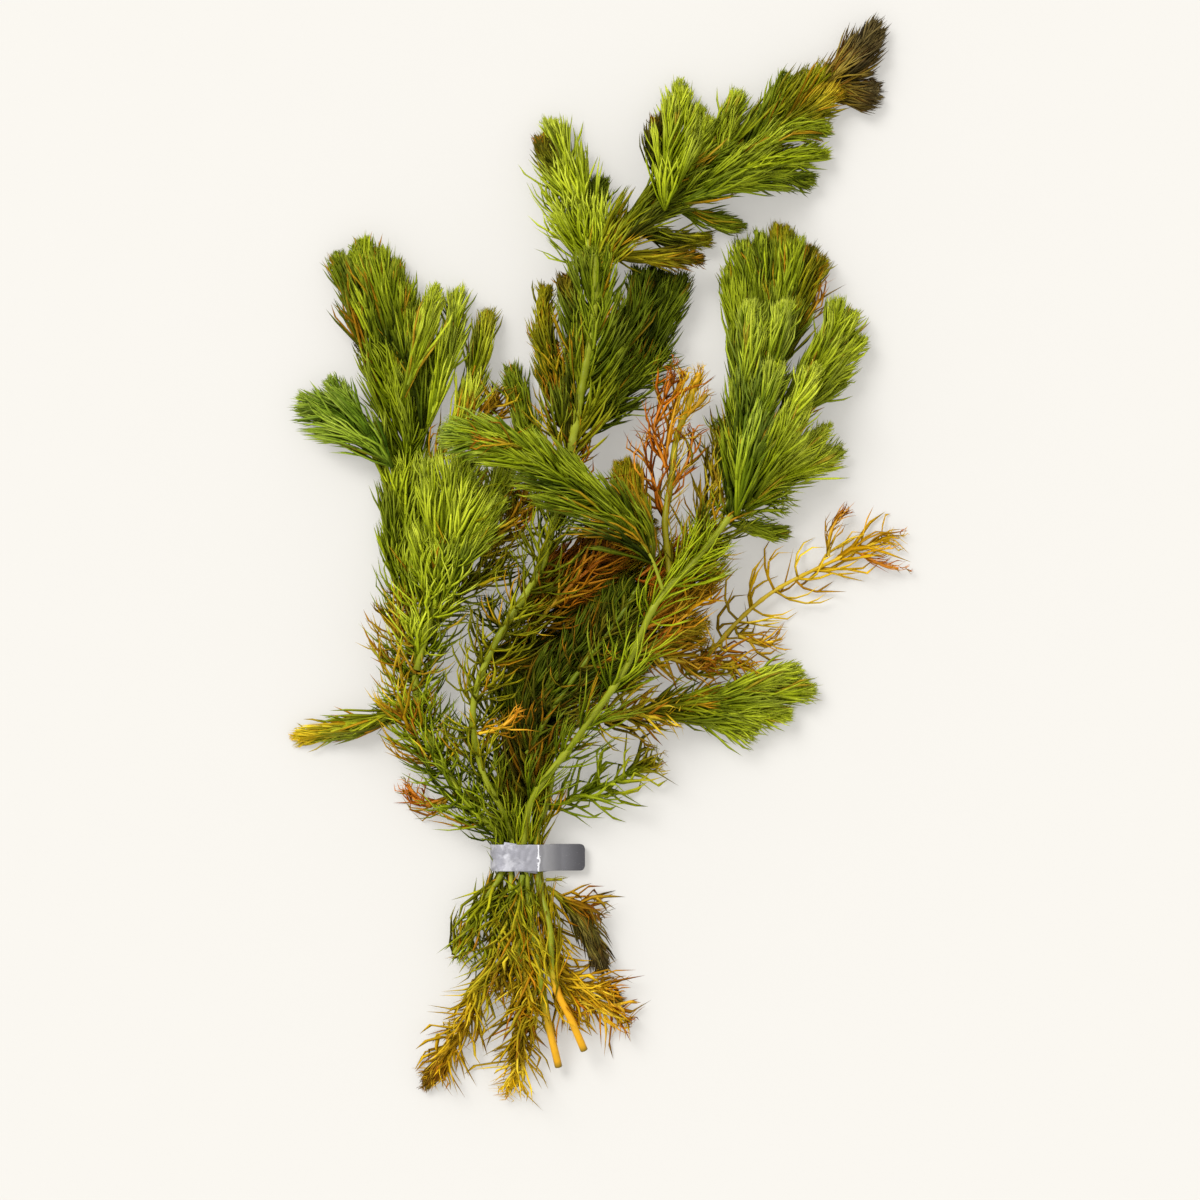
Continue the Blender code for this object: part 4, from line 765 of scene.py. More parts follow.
@dataclass(frozen=True)
class LeafFinish:
    """A wet leaf in its own colour, with darker mottles and fine lighter streaks, partly painted wet glints.
    """

    name: str = "wet_leaf"
    mottle_scale: float = 420.0
    mottle_tint: tuple[float, ...] = (0.55, 0.58, 0.45, 1.0)
    mottle_share: float = 0.45
    streak_scale: float = 1500.0
    # Lighter streaks, partly the leaf's own and partly painted wet glints.
    streak_and_glint_tint: tuple[float, ...] = (1.7, 1.65, 1.5, 1.0)
    streak_and_glint_share: float = 0.5
    roughness: float = 0.4
    mottle_roughness: float = 0.25
    shine: float = 0.05
    relief: float = 0.2
    relief_strength: float = 0.5

    def make(self) -> Material:
        """Build the material.

        Returns:
            The material.
        """
        recipe = Recipe(self.name)
        mottle = recipe.noise(self.mottle_scale, 3.0).between(0.35, 0.7)
        streak = recipe.noise(self.streak_scale)
        # Lighter streaks: partly the leaf's own, partly painted wet glints.
        streaks_and_painted_glints = streak.between(0.55, 0.75) * self.streak_and_glint_share
        colour = recipe.mix(mottle * self.mottle_share, recipe.own_colour(), self.mottle_tint, "MULTIPLY")
        return recipe.finish(
            Base_Color=recipe.mix(streaks_and_painted_glints, colour, self.streak_and_glint_tint, "MULTIPLY"),
            Roughness=self.roughness + self.mottle_roughness * mottle, Specular_IOR_Level=self.shine,
            Normal=recipe.bump(streak, self.relief * MM, self.relief_strength))


@dataclass(frozen=True)
class StemFinish:
    """A smooth wet stem in its own colour, with soft mottles and a fine grain."""

    name: str = "wet_stem"
    mottle_scale: float = 300.0
    mottle_tint: tuple[float, ...] = (0.62, 0.66, 0.5, 1.0)
    mottle_share: float = 0.3
    grain_scale: float = 1800.0
    roughness: float = 0.35
    grain_roughness: float = 0.2
    shine: float = 0.15
    wet: float = 0.03
    wet_roughness: float = 0.12
    relief: float = 0.2
    relief_strength: float = 0.35

    def make(self) -> Material:
        """Build the material.

        Returns:
            The material.
        """
        recipe = Recipe(self.name)
        mottle = recipe.noise(self.mottle_scale, 3.0).between(0.4, 0.7)
        grain = recipe.noise(self.grain_scale)
        shaded = recipe.mix(mottle * self.mottle_share, recipe.own_colour(), self.mottle_tint, "MULTIPLY")
        return recipe.finish(
            Base_Color=shaded, Roughness=self.roughness + self.grain_roughness * grain, Coat_Weight=self.wet,
            Coat_Roughness=self.wet_roughness, Specular_IOR_Level=self.shine,
            Normal=recipe.bump(grain, self.relief * MM, self.relief_strength))


@dataclass(frozen=True)
class LeadFinish:
    """Soft lead sheet: satin grey with fine scratches and dull patches. Its colour holds painted light: a
    painted highlight along the crease, painted light where the strip falls away past it, and a painted
    sheen that fades to a darker tail.

    Colours are screen colours. Borders are stretches of x in millimetres, across which one zone of the strip
    passes into the next.
    """

    name: str = "lead_sheet"
    # Painted sheen: the front's grey fades into the darker tail's grey towards the right end.
    front: Colour = (110, 109, 112)
    tail: Colour = (66, 65, 68)
    painted_sheen_fade_border: Span = (8.5, 16.5)
    slope: Colour = (156, 155, 158)
    # Painted light where the strip falls away past the crease, which faces away from the sun and would
    # render dark.
    slope_top: Span = (4.4, 6.8)
    slope_foot: Span = (7.8, 10.6)
    left: Colour = (138, 137, 143)
    left_border: Span = (4.2, 5.6)
    smear: Colour = (196, 195, 199)
    smear_border: Span = (0.0, 4.0)
    smear_share: float = 0.6
    scratch: Colour = (184, 183, 188)
    scratch_share: float = 0.3
    scratch_grain: tuple[float, float, float] = (1.0, 6.0, 1.0)
    # Painted highlight along the crease: its colour, where it lies, how strong it is and how it sways.
    fold: Colour = (226, 225, 228)
    fold_left: Span = (4.5, 4.8)
    fold_right: Span = (5.0, 5.3)
    crease_highlight_share: float = 0.85
    fold_sway: float = 2.6
    metallic: float = 0.7
    roughness: float = 0.5
    worn_roughness: float = 0.15
    relief: float = 0.1
    relief_strength: float = 0.3

    def make(self) -> Material:
        """Build the material.

        Returns:
            The material.
        """
        recipe = Recipe(self.name)
        place = recipe.place()
        across = recipe.reading("ShaderNodeSeparateXYZ", {}, {0: place})
        worn = recipe.noise(260.0, 4.0, 0.6)
        drawn_out = recipe.node("ShaderNodeMapping", {}, {"Vector": place, "Scale": self.scratch_grain})
        scratches = recipe.noise(900.0, 3.0, 0.7, drawn_out.outputs[0])
        swaying = across + self.fold_sway * MM * (recipe.noise(620.0, 3.0, 0.65) - 0.5)
        left = 1.0 - across.past(self.left_border)
        # Painted light on the fall past the crease, to make up for its shade.
        slope = across.past(self.slope_top) - across.past(self.slope_foot)
        smears = left * worn.between(0.46, 0.62) * (1.0 - across.past(self.smear_border)) * self.smear_share
        # Painted highlight: a bright band that sways along the crease.
        fold = swaying.past(self.fold_left) - swaying.past(self.fold_right)
        # Painted sheen that fades: lighter near the crease, darker towards the end of the tail.
        colour = recipe.mix(across.past(self.painted_sheen_fade_border), opaque(self.front), opaque(self.tail))
        for share, tint in ((slope, self.slope), (left, self.left), (smears, self.smear),
                            (scratches.between(0.62, 0.72) * self.scratch_share, self.scratch),
                            (fold * self.crease_highlight_share, self.fold)):
            colour = recipe.mix(share, colour, opaque(tint))
        return recipe.finish(
            Base_Color=colour, Metallic=self.metallic, Roughness=self.roughness + self.worn_roughness * worn,
            Normal=recipe.bump(scratches + worn, self.relief * MM, self.relief_strength))


@dataclass(frozen=True)
class FloorFinish:
    """A plain pale floor that gives off a faint painted light, which lifts the shade cast on it."""

    name: str = "pale_floor"
    colour: Colour = (156, 154, 150)
    # Painted light given off by the floor itself, which lifts the shade under the bunch.
    painted_glow_colour: tuple[float, ...] = (1.0, 0.972, 0.912, 1.0)
    painted_glow: float = 0.33
    roughness: float = 0.85
    grain_roughness: float = 0.1

    def make(self) -> Material:
        """Build the material.

        Returns:
            The material.
        """
        recipe = Recipe(self.name)
        grain = recipe.noise(60.0)
        # Painted light: the floor emits a little light of its own to lighten the shade on it.
        return recipe.finish(
            Base_Color=opaque(self.colour), Roughness=self.roughness + self.grain_roughness * grain,
            Emission_Color=self.painted_glow_colour, Emission_Strength=self.painted_glow)


def choose(first: Object, *others: Object) -> None:
    """Select only these objects.

    Args:
        first: the one that is made active.
        *others: the rest.
    """
    bpy.ops.object.select_all(action="DESELECT")
    for item in (first, *others):
        item.select_set(True)
    bpy.context.view_layer.objects.active = first


def put(name: str, data: bpy.types.ID) -> Object:
    """Put a new object in the scene.

    Args:
        name: its name.
        data: the mesh, curve, light or camera that it shows.

    Returns:
        The object.
    """
    item = bpy.data.objects.new(name, data)
    bpy.context.scene.collection.objects.link(item)
    return item


@dataclass
class Faces:
    """Faces as arrays: vertex places in millimetres, the vertices round each face, and their number."""

    points: Array
    loops: Array
    totals: Array

    @classmethod
    def take(cls, item: Object) -> "Faces":
        """Read the faces of an object and remove it.

        Args:
            item: the object.

        Returns:
            Its faces.
        """
        mesh = item.data
        points = np.array([vertex.co for vertex in mesh.vertices]) / MM
        loops = np.array([loop.vertex_index for loop in mesh.loops])
        totals = np.array([face.loop_total for face in mesh.polygons])
        bpy.data.objects.remove(item, do_unlink=True)
        return cls(points, loops, totals)


@dataclass
class Strand:
    """One tapered strand of a leaf: its middle line in millimetres and its radius at each point."""

    line: list[tuple[float, float, float]]
    radii: list[float]

    def model(self) -> Object:
        """Model the strand from a three-sided face, extruded and narrowed to a point.

        Returns:
            The strand.
        """
        bpy.ops.object.select_all(action="DESELECT")
        points = [tuple(c * MM for c in place) for place in self.line]
        bpy.ops.mesh.primitive_circle_add(vertices=3, radius=self.radii[0] * MM, fill_type="NGON",
                                          location=points[0], rotation=(0.0, math.pi / 2, 0.0))
        strand = bpy.context.object
        bpy.ops.object.mode_set(mode="EDIT")
        bpy.ops.mesh.select_all(action="SELECT")
        for here, there, thick, thin in zip(points, points[1:], self.radii, self.radii[1:]):
            step = tuple(b - a for a, b in zip(here, there))
            bpy.ops.mesh.extrude_region_move(TRANSFORM_OT_translate={"value": step})
            share = thin / thick
            bpy.ops.transform.resize(value=(share, share, share), center_override=there)
        bpy.ops.mesh.merge(type="CENTER")
        bpy.ops.mesh.select_all(action="SELECT")
        bpy.ops.mesh.normals_make_consistent(inside=False)
        bpy.ops.object.mode_set(mode="OBJECT")
        return strand


@dataclass
class LeafForm:
    """A leaf form, modelled once along +X at full length and read into arrays for its copies."""

    name: str
    strands: list[Strand]
    length: float = 16.0
    faces: Faces = field(init=False)

    def __post_init__(self) -> None:
        """Model the strands, join them and read their faces."""
        choose(*[strand.model() for strand in self.strands])
        bpy.ops.object.join()
        bpy.ops.object.transform_apply(location=True, rotation=True, scale=True)
        self.faces = Faces.take(bpy.context.object)
        log.info("leaf form %s: %d faces", self.name, len(self.faces.totals))


def leaf_forms() -> dict[str, LeafForm]:
    """Model every leaf form of the bunch.

    Returns:
        The forms by name.
    """
    main = Strand([(0, 0, 0), (4, 0.1, 0), (8, 0.2, 0), (12, 0.7, 0.05), (16, 1.3, -0.1)],
                  [0.3, 0.28, 0.25, 0.2, 0.06])
    prong = Strand([(5.6, 0.1, 0), (9, -0.5, 0.05), (12, -0.9, 0.05), (15.2, -1.2, 0)],
                   [0.26, 0.23, 0.18, 0.06])
    upper_fork = Strand([(9.6, 0.4, 0), (12.2, 0.25, 0.2), (14.8, 0.1, 0.3)], [0.21, 0.17, 0.05])
    lower_fork = Strand([(9.8, -0.65, 0), (12, -1.5, -0.1), (14.2, -2.1, -0.1)], [0.2, 0.16, 0.05])
    side_prong = Strand([(5, 0.1, 0), (8.6, 1.3, 0.1), (12, 2.3, 0.1), (14.8, 2.8, 0)],
                        [0.26, 0.22, 0.18, 0.06])
    stalk = Strand([(0, 0, 0), (3.5, 0.1, 0), (7, 0.5, 0), (11, 1.6, 0.1), (15.6, 2.9, -0.1)],
                   [0.36, 0.33, 0.29, 0.22, 0.09])
    arm = Strand([(3.4, 0.1, 0), (6.6, -0.9, 0.1), (10, -2.2, 0.1), (14.2, -3.3, 0)],
                 [0.31, 0.28, 0.22, 0.09])
    upper_twig = Strand([(7.4, 0.6, 0), (10.6, 0.5, 0.2), (14.2, 0.7, 0.3)], [0.26, 0.2, 0.08])
    lower_twig = Strand([(7.2, -1.1, 0), (10.2, -1.2, -0.2), (13.2, -1, -0.3)], [0.26, 0.2, 0.08])
    broad_arm = Strand([(3, 0.1, 0), (6, 1.6, 0.1), (9.6, 3.1, 0.1), (13.4, 4.4, 0)],
                       [0.31, 0.27, 0.21, 0.09])
    bowed_stalk = Strand([(0, 0, 0), (4, -0.1, 0), (8, -0.7, 0), (12, -1.7, 0.1), (16, -2.4, 0)],
                         [0.36, 0.32, 0.27, 0.2, 0.08])
    spur = Strand([(8.6, -0.8, 0), (11.6, -0.4, -0.1), (14.4, 0.4, -0.1)], [0.24, 0.18, 0.07])
    forms = [LeafForm("fine_forked", [main, prong, upper_fork, lower_fork]),
             LeafForm("fine_spread", [main, prong, side_prong]),
             LeafForm("fine_once", [main, prong]),
             LeafForm("forked_twice", [stalk, arm, upper_twig, lower_twig]),
             LeafForm("forked_wide", [bowed_stalk, broad_arm, spur]),
             LeafForm("forked_open", [stalk, arm])]
    return {form.name: form for form in forms}


def read_columns(at: Array, marks: Array, table: Array) -> Array:
    """Read every column of a table between its marks.

    Args:
        at: where to read, in any shape.
        marks: where the table's rows sit.
        table: the rows.

    Returns:
        The rows read, on a last axis of their own.
    """
    return np.stack([np.interp(at, marks, column) for column in table.T], axis=-1)


def read_tones(tones: tuple[Stop, ...], share: Array) -> tuple[Array, Array]:
    """Read the tones of a shoot.

    Args:
        tones: the tones along the shoot.
        share: the shares of the shoot to read them at.

    Returns:
        The five linear colours and the part of flecked leaves at each share.
    """
    marks = np.array([mark for mark, _ in tones])
    tables = np.array([tone.value.table() for _, tone in tones])
    flecked = np.array([tone.value.flecked for _, tone in tones])
    colours = read_columns(share, marks, tables.reshape(len(marks), -1))
    return colours.reshape(*share.shape, 5, 3), np.interp(share, marks, flecked)


def run_along(line: Array) -> Array:
    """Give how far along a line each of its points is."""
    steps = np.linalg.norm(np.diff(line, axis=0), axis=1)
    return np.concatenate([[0.0], np.cumsum(steps)])


class Axis:
    """The smooth middle line of a shoot and its directions, read by length in millimetres."""

    samples = 14

    def __init__(self, places: tuple[Place, ...]) -> None:
        """Sample a smooth curve and its square directions.

        Args:
            places: the places that the curve runs through.
        """
        marks = np.array(places, float)
        spans = np.linalg.norm(np.diff(marks[:, :3], axis=0), axis=1)
        knots = run_along(marks[:, :3])
        slopes = np.gradient(marks, knots, axis=0)
        line = []
        for i, span in enumerate(spans):
            for t in np.linspace(0.0, 1.0, self.samples, endpoint=False):
                start = (2 * t**3 - 3 * t**2 + 1) * marks[i] + (t**3 - 2 * t**2 + t) * span * slopes[i]
                end = (3 * t**2 - 2 * t**3) * marks[i + 1] + (t**3 - t**2) * span * slopes[i + 1]
                line.append(start + end)
        line.append(marks[-1])
        self.line = np.array(line)[:, :3]
        self.run = run_along(self.line)
        self.length = float(self.run[-1])
        self.marks = knots / knots[-1] * self.length
        self.reaches = marks[:, 3]
        ahead = np.gradient(self.line, self.run, axis=0)
        self.ahead = ahead / np.linalg.norm(ahead, axis=1)[:, None]
        side = np.cross(self.ahead, (0.0, 0.0, 1.0))
        self.side = side / np.linalg.norm(side, axis=1)[:, None]
        self.up = np.cross(self.side, self.ahead)

    def read(self, table: Array, along: Array) -> Array:
        """Read a table of vectors at lengths along the line."""
        return read_columns(along, self.run, table)

    def point(self, along: Array) -> Array:
        """Give places on the line, which runs straight on past its ends.

        Args:
            along: lengths along the line.

        Returns:
            The place at each.
        """
        past = np.maximum(along - self.length, 0.0)[..., None]
        before = np.minimum(along, 0.0)[..., None]
        return self.read(self.line, along) + past * self.ahead[-1] + before * self.ahead[0]

    def reach(self, along: Array) -> Array:
        """Give how far leaves reach to the side."""
        return np.interp(along, self.marks, self.reaches)


def soft_ramp(value: Array, straight: float = 20.0) -> Array:
    """Ease from 0, for values far below 0, into the value itself, which holds past `straight`."""
    return np.where(value > straight, value, np.log1p(np.exp(np.minimum(value, straight))))


def soft_limit(height: Array, floor: float = 0.2, roof: float = 26.2, softness: float = 0.5) -> Array:
    """Ease heights so that nothing sinks below the floor's rest height or stands above the roof.

    Args:
        height: the heights.
        floor: the lowest height.
        roof: the greatest height.
        softness: how gently heights bend towards either.

    Returns:
        The eased heights.
    """
    height = floor + softness * soft_ramp((height - floor) / softness)
    return roof - softness * soft_ramp((roof - height) / softness)


class Part(IntEnum):
    """Which of a sprig's two finishes a face takes."""

    LEAF = 0
    STEM = 1


class MeshStore:
    """Collects vertices, faces, colours and finishes for one piece."""

    def __init__(self) -> None:
        """Start empty."""
        self.points: list[Array] = []
        self.loops: list[Array] = []
        self.totals: list[Array] = []
        self.colours: list[Array] = []
        self.parts: list[Array] = []
        self.count = 0

    def add(self, faces: Faces, colours: Array, part: Part) -> None:
        """Add faces.

        Args:
            faces: the faces, their arrays in any shape.
            colours: the colour of each vertex.
            part: the finish that they take.
        """
        self.points.append(faces.points.reshape(-1, 3))
        self.loops.append(faces.loops.ravel() + self.count)
        self.totals.append(faces.totals.ravel())
        self.colours.append(colours.reshape(-1, 3))
        self.parts.append(np.full(faces.totals.size, int(part)))
        self.count += len(self.points[-1])

    @property
    def triangles(self) -> int:
        """Give the number of triangles."""
        return int(sum((total - 2).sum() for total in self.totals))

    def mesh(self, name: str, finishes: list[Material]) -> bpy.types.Mesh:
        """Make the mesh in metres, smooth, with its leaf colours and finishes.

        Args:
            name: the mesh's name.
            finishes: the materials, in the order of Part.

        Returns:
            The mesh.
        """
        points = np.concatenate(self.points) * MM
        loops = np.concatenate(self.loops)
        totals = np.concatenate(self.totals)
        colours = np.concatenate(self.colours)
        mesh = bpy.data.meshes.new(name)
        mesh.vertices.add(len(points))
        mesh.vertices.foreach_set("co", points.ravel().astype(np.float32))
        mesh.loops.add(len(loops))
        mesh.loops.foreach_set("vertex_index", loops.astype(np.int32))
        mesh.polygons.add(len(totals))
        starts = np.concatenate([[0], np.cumsum(totals)[:-1]])
        mesh.polygons.foreach_set("loop_start", starts.astype(np.int32))
        mesh.polygons.foreach_set("material_index", np.concatenate(self.parts).astype(np.int32))
        mesh.update(calc_edges=True)
        mesh.validate()
        tint = mesh.attributes.new("leaf_colour", "FLOAT_COLOR", "POINT")
        opaque_colours = np.concatenate([colours, np.ones((len(colours), 1))], axis=1)
        tint.data.foreach_set("color", opaque_colours.ravel().astype(np.float32))
        mesh.shade_smooth()
        for finish in finishes:
            mesh.materials.append(finish)
        return mesh


@dataclass
class LeafBatch:
    """The leaves of one shoot, one row for each leaf. Lengths are in millimetres and angles in radians.

    A leaf starts at `start` along the stem, `base` from its middle line. It leans out by `opening`, bows by
    `curl`, and points round the stem to `turn` at its foot and `tip_turn` at its tip. Its forks are on one
    side or the other (`flip`), `spread` wide, its ripples start at `phase`, and `level` is how light it is,
    in part a painted light on leaves that point up.
    """

    start: Array
    length: Array
    opening: Array
    curl: Array
    turn: Array
    tip_turn: Array
    base: Array
    flip: Array
    spread: Array
    phase: Array
    level: Array

    def rows(self, chosen: Array) -> "LeafBatch":
        """Give only the chosen leaves."""
        return LeafBatch(*(getattr(self, item.name)[chosen] for item in fields(self)))


@dataclass
class Branch:
    """One shoot as it grows: its plan, its random numbers and its middle line."""

    plan: Shoot
    chance: np.random.Generator
    whorl_step: Span = (0.8, 1.2)
    bare_tip: float = 1.5

    def __post_init__(self) -> None:
        """Draw the middle line."""
        self.axis = Axis(self.plan.places)
        self.habit = self.plan.growth.value

    def whorls(self, chance: np.random.Generator) -> Array:
        """Place the whorls, which crowd towards the tip.

        Args:
            chance: the random numbers that the steps are drawn from.

        Returns:
            How far along the stem each whorl sits.
        """
        length = self.axis.length
        along = self.plan.bare * length if self.plan.bare else -self.habit.overlap
        places = []
        while along < length - self.bare_tip:
            places.append(along)
            share = max(along / length, 0.0)
            step = self.habit.spacing * (1.0 - self.habit.crowding * share**2)
            along += step * chance.uniform(*self.whorl_step)
        return np.array(places)


@dataclass(frozen=True)
class LeafPlanner:
    """Settles where each leaf starts, how long it is and where it points.

    Wet leaves cling together in locks: those of one sector and one stretch of the stem share a reach, an end
    and a shade, and their tips draw together. The spans and spreads say how far leaves and locks stray from
    even growth, each as a part of its own value.
    """

    foot_spread: float = 0.1
    last_foot: float = 1.0
    turn_spread: float = 0.3
    band_spread: float = 0.2
    lock_turn: float = 0.3
    lock_reach: Span = (0.4, 1.25)
    lock_end: Span = (0.82, 1.1)
    leaf_length: Span = (0.75, 1.05)
    gathered_length: Span = (0.85, 1.12)
    gathered_share: float = 0.8
    least_gathered: float = 0.35
    room_of_lock: Span = (0.78, 1.1)
    room_of_leaf: Span = (0.92, 1.08)
    shortest: float = 2.5
    tip_share: float = 0.82
    lock_tip_share: float = 0.8
    clung_reach: float = 0.9
    clung_share: float = 0.85
    opening_sines: Span = (0.03, 0.95)
    leaf_shade: float = 0.12
    lock_shade: float = 0.24
    # Painted light: how much lighter the leaves that point up from the stem are.
    top_shade: float = 0.1
    splay: Span = (0.55, 1.35)
    phases: float = 6.3

    def feet(self, branch: Branch) -> tuple[Array, Array]:
        """Place each leaf's foot.

        Args:
            branch: the shoot.

        Returns:
            How far along the stem and how far round it each foot sits.
        """
        habit, chance = branch.habit, branch.chance
        whorls = branch.whorls(chance)
        n = len(whorls) * habit.leaves
        start = np.repeat(whorls, habit.leaves) + chance.normal(0.0, self.foot_spread * habit.spacing, n)
        start = np.minimum(start, branch.axis.length - self.last_foot)
        number = np.tile(np.arange(habit.leaves), len(whorls))
        turn = math.tau * (number + chance.uniform(-self.turn_spread, self.turn_spread, n)) / habit.leaves
        whorl_turn = np.repeat(chance.uniform(0, math.tau, len(whorls)), habit.leaves)
        return start, np.mod(turn + whorl_turn, math.tau)

    def lengths(self, branch: Branch, start: Array, band: Array, lock: Array,
                lock_end: Array) -> Array:
        """Settle how long each leaf is: those of a lock end together, and none runs far past the shoot.

        Args:
            branch: the shoot.
            start: where each leaf starts.
            band: the stretch of the stem that it is on.
            lock: its lock.
            lock_end: how long its lock is, as a part of a leaf's full length.

        Returns:
            The lengths.
        """
        habit, chance = branch.habit, branch.chance
        n = len(start)
        length = habit.length * lock_end * chance.uniform(*self.leaf_length, n)
        lock_tip = (band + 0.5) * habit.band - habit.overlap + self.lock_tip_share * habit.length * lock_end
        gathered = (lock_tip - start) * chance.uniform(*self.gathered_length, n)
        gathered = np.maximum(gathered, self.least_gathered * habit.length)
        length = length + (gathered - length) * habit.clump * self.gathered_share
        locks = int(lock.max()) + 1
        room = (branch.axis.length - start) * chance.uniform(*self.room_of_lock, locks)[lock]
        return np.minimum(length, np.maximum(room * chance.uniform(*self.room_of_leaf, n), self.shortest))

    def plan(self, branch: Branch) -> LeafBatch:
        """Settle every leaf of a shoot.

        Args:
            branch: the shoot.

        Returns:
            The leaves.
        """
        habit, chance, axis = branch.habit, branch.chance, branch.axis
        start, turn = self.feet(branch)
        n = len(start)
        band = (start + habit.overlap) / habit.band
        band = np.floor(band + chance.uniform(-self.band_spread, self.band_spread, n))
        sector = np.floor(turn / math.tau * habit.sectors + 0.5 * band)
        lock = np.unique(band * 100 + sector, return_inverse=True)[1]
        locks = int(lock.max()) + 1
        lock_turn = (sector + 0.5 - 0.5 * band) / habit.sectors * math.tau
        lock_turn = lock_turn + chance.normal(0.0, self.lock_turn, locks)[lock]
        tip_turn = turn + (lock_turn - turn) * habit.clump + chance.normal(0.0, habit.unruly, n)
        lock_reach = np.clip(chance.normal(1.0, habit.lock_spread, locks), *self.lock_reach)
        lock_end = chance.uniform(*self.lock_end, locks)[lock]
        length = self.lengths(branch, start, band, lock, lock_end)
        tip_at = np.minimum(start + self.tip_share * length, axis.length)
        own = habit.inner + (1.0 - habit.inner) * np.sqrt(chance.uniform(0.0, 1.0, n))
        own = own + (self.clung_reach - own) * habit.clump * self.clung_share
        reach = axis.reach(tip_at) * (habit.fullness * lock_reach[lock]) * own
        base = np.interp(start / axis.length, (0.0, 1.0), branch.plan.stem)
        opening = np.arcsin(np.clip((reach - LeafBender.foot * base) / length, *self.opening_sines))
        opening = opening * (1.0 + chance.normal(0.0, habit.unruly, n))
        shade = chance.normal(0.5, self.leaf_shade, n) + chance.normal(0.0, self.lock_shade, locks)[lock]
        # Painted light: leaves that point up from the stem are made lighter.
        shade = shade + self.top_shade * np.sin(turn)
        curl = habit.flare * 0.5 + chance.normal(0.0, 0.5 * habit.unruly, n)
        flip = chance.choice([-1.0, 1.0], n)
        spread = habit.splay * chance.uniform(*self.splay, n)
        phase = chance.uniform(0, self.phases, n)
        level = np.clip(shade, 0.0, 1.0)
        return LeafBatch(start, length, opening, curl, turn, tip_turn, base, flip, spread, phase, level)


@dataclass(frozen=True)
class LeafBender:
    """Bends copies of a leaf form outwards from the stem and then forwards along it.

    A leaf starts at the share `foot` of the stem's radius. It leans out by the share `kept` of its opening,
    with `added` to that at its foot, and bows about `bow_middle`. Coarse and fine waves ripple along it.
    """

    steps: int = 14
    foot: float = 0.4
    kept: float = 0.62
    added: float = 1.14
    bow: float = 3.0
    bow_middle: float = 0.35
    coarse_wave: float = 4.5
    fine_wave: float = 11.0
    fine_phase: float = 2.3
    fine_share: float = 0.3
    lifted_share: float = 0.4
    swing_power: float = 1.2

    def line(self, batch: LeafBatch, share: Array) -> tuple[Array, Array, Array]:
        """Follow each leaf's middle line.

        Args:
            batch: the leaves.
            share: how far along its leaf each vertex is.

        Returns:
            How far along the stem and away from it the line is at each vertex, and how it leans there.
        """
        grid = np.linspace(0.0, 1.0, self.steps + 1)
        middle = 0.5 * (grid[1:] + grid[:-1])
        angle = batch.opening[:, None] * (self.kept + self.added * (1.0 - middle) ** 2)
        angle = angle + batch.curl[:, None] * (middle - self.bow_middle) * self.bow
        step = batch.length[:, None] / self.steps
        start = np.zeros((len(batch.start), 1))
        ahead = np.concatenate([start, np.cumsum(np.cos(angle) * step, axis=1)], axis=1)
        out = np.concatenate([start, np.cumsum(np.sin(angle) * step, axis=1)], axis=1)
        spot = share * self.steps
        low = np.minimum(spot.astype(int), self.steps - 1)
        part = spot - low
        run = ahead[:, low] * (1 - part) + ahead[:, low + 1] * part
        rise = out[:, low] * (1 - part) + out[:, low + 1] * part + self.foot * batch.base[:, None]
        return run, rise, angle[:, low]

    def bend(self, branch: Branch, form: LeafForm, batch: LeafBatch) -> tuple[Array, Array]:
        """Bend a copy of the form for each leaf.

        Args:
            branch: the shoot.
            form: the leaf form.
            batch: the leaves that have this form.

        Returns:
            The places of the vertices and their share of the leaf's length.
        """
        axis, points = branch.axis, form.faces.points
        share = np.clip(points[:, 0] / form.length, 0.0, 1.0)
        run, rise, lean = self.line(batch, share)
        size = branch.habit.thickness * np.sqrt(batch.length / form.length)[:, None]
        phase = batch.phase[:, None]
        waves = (np.sin(self.coarse_wave * share + phase)
                 + self.fine_share * np.sin(self.fine_wave * share + self.fine_phase * phase))
        ripple = branch.habit.wave * share * waves
        fork = points[None, :, 1] * batch.spread[:, None]
        across = (fork + ripple) * size * batch.flip[:, None]
        thick = points[None, :, 2] * size + self.lifted_share * ripple
        along = batch.start[:, None] + (run - thick * np.sin(lean))
        rise = rise + thick * np.cos(lean)
        swing = batch.turn[:, None] + (batch.tip_turn - batch.turn)[:, None] * share**self.swing_power
        sideways = (rise * np.cos(swing) - across * np.sin(swing))[..., None]
        upwards = (rise * np.sin(swing) * branch.plan.flatness + across * np.cos(swing))[..., None]
        place = (axis.point(along) + axis.read(axis.side, along) * sideways
                 + axis.read(axis.up, along) * upwards)
        place[..., 2] = soft_limit(place[..., 2])
        return place, np.broadcast_to(share, place.shape[:2])


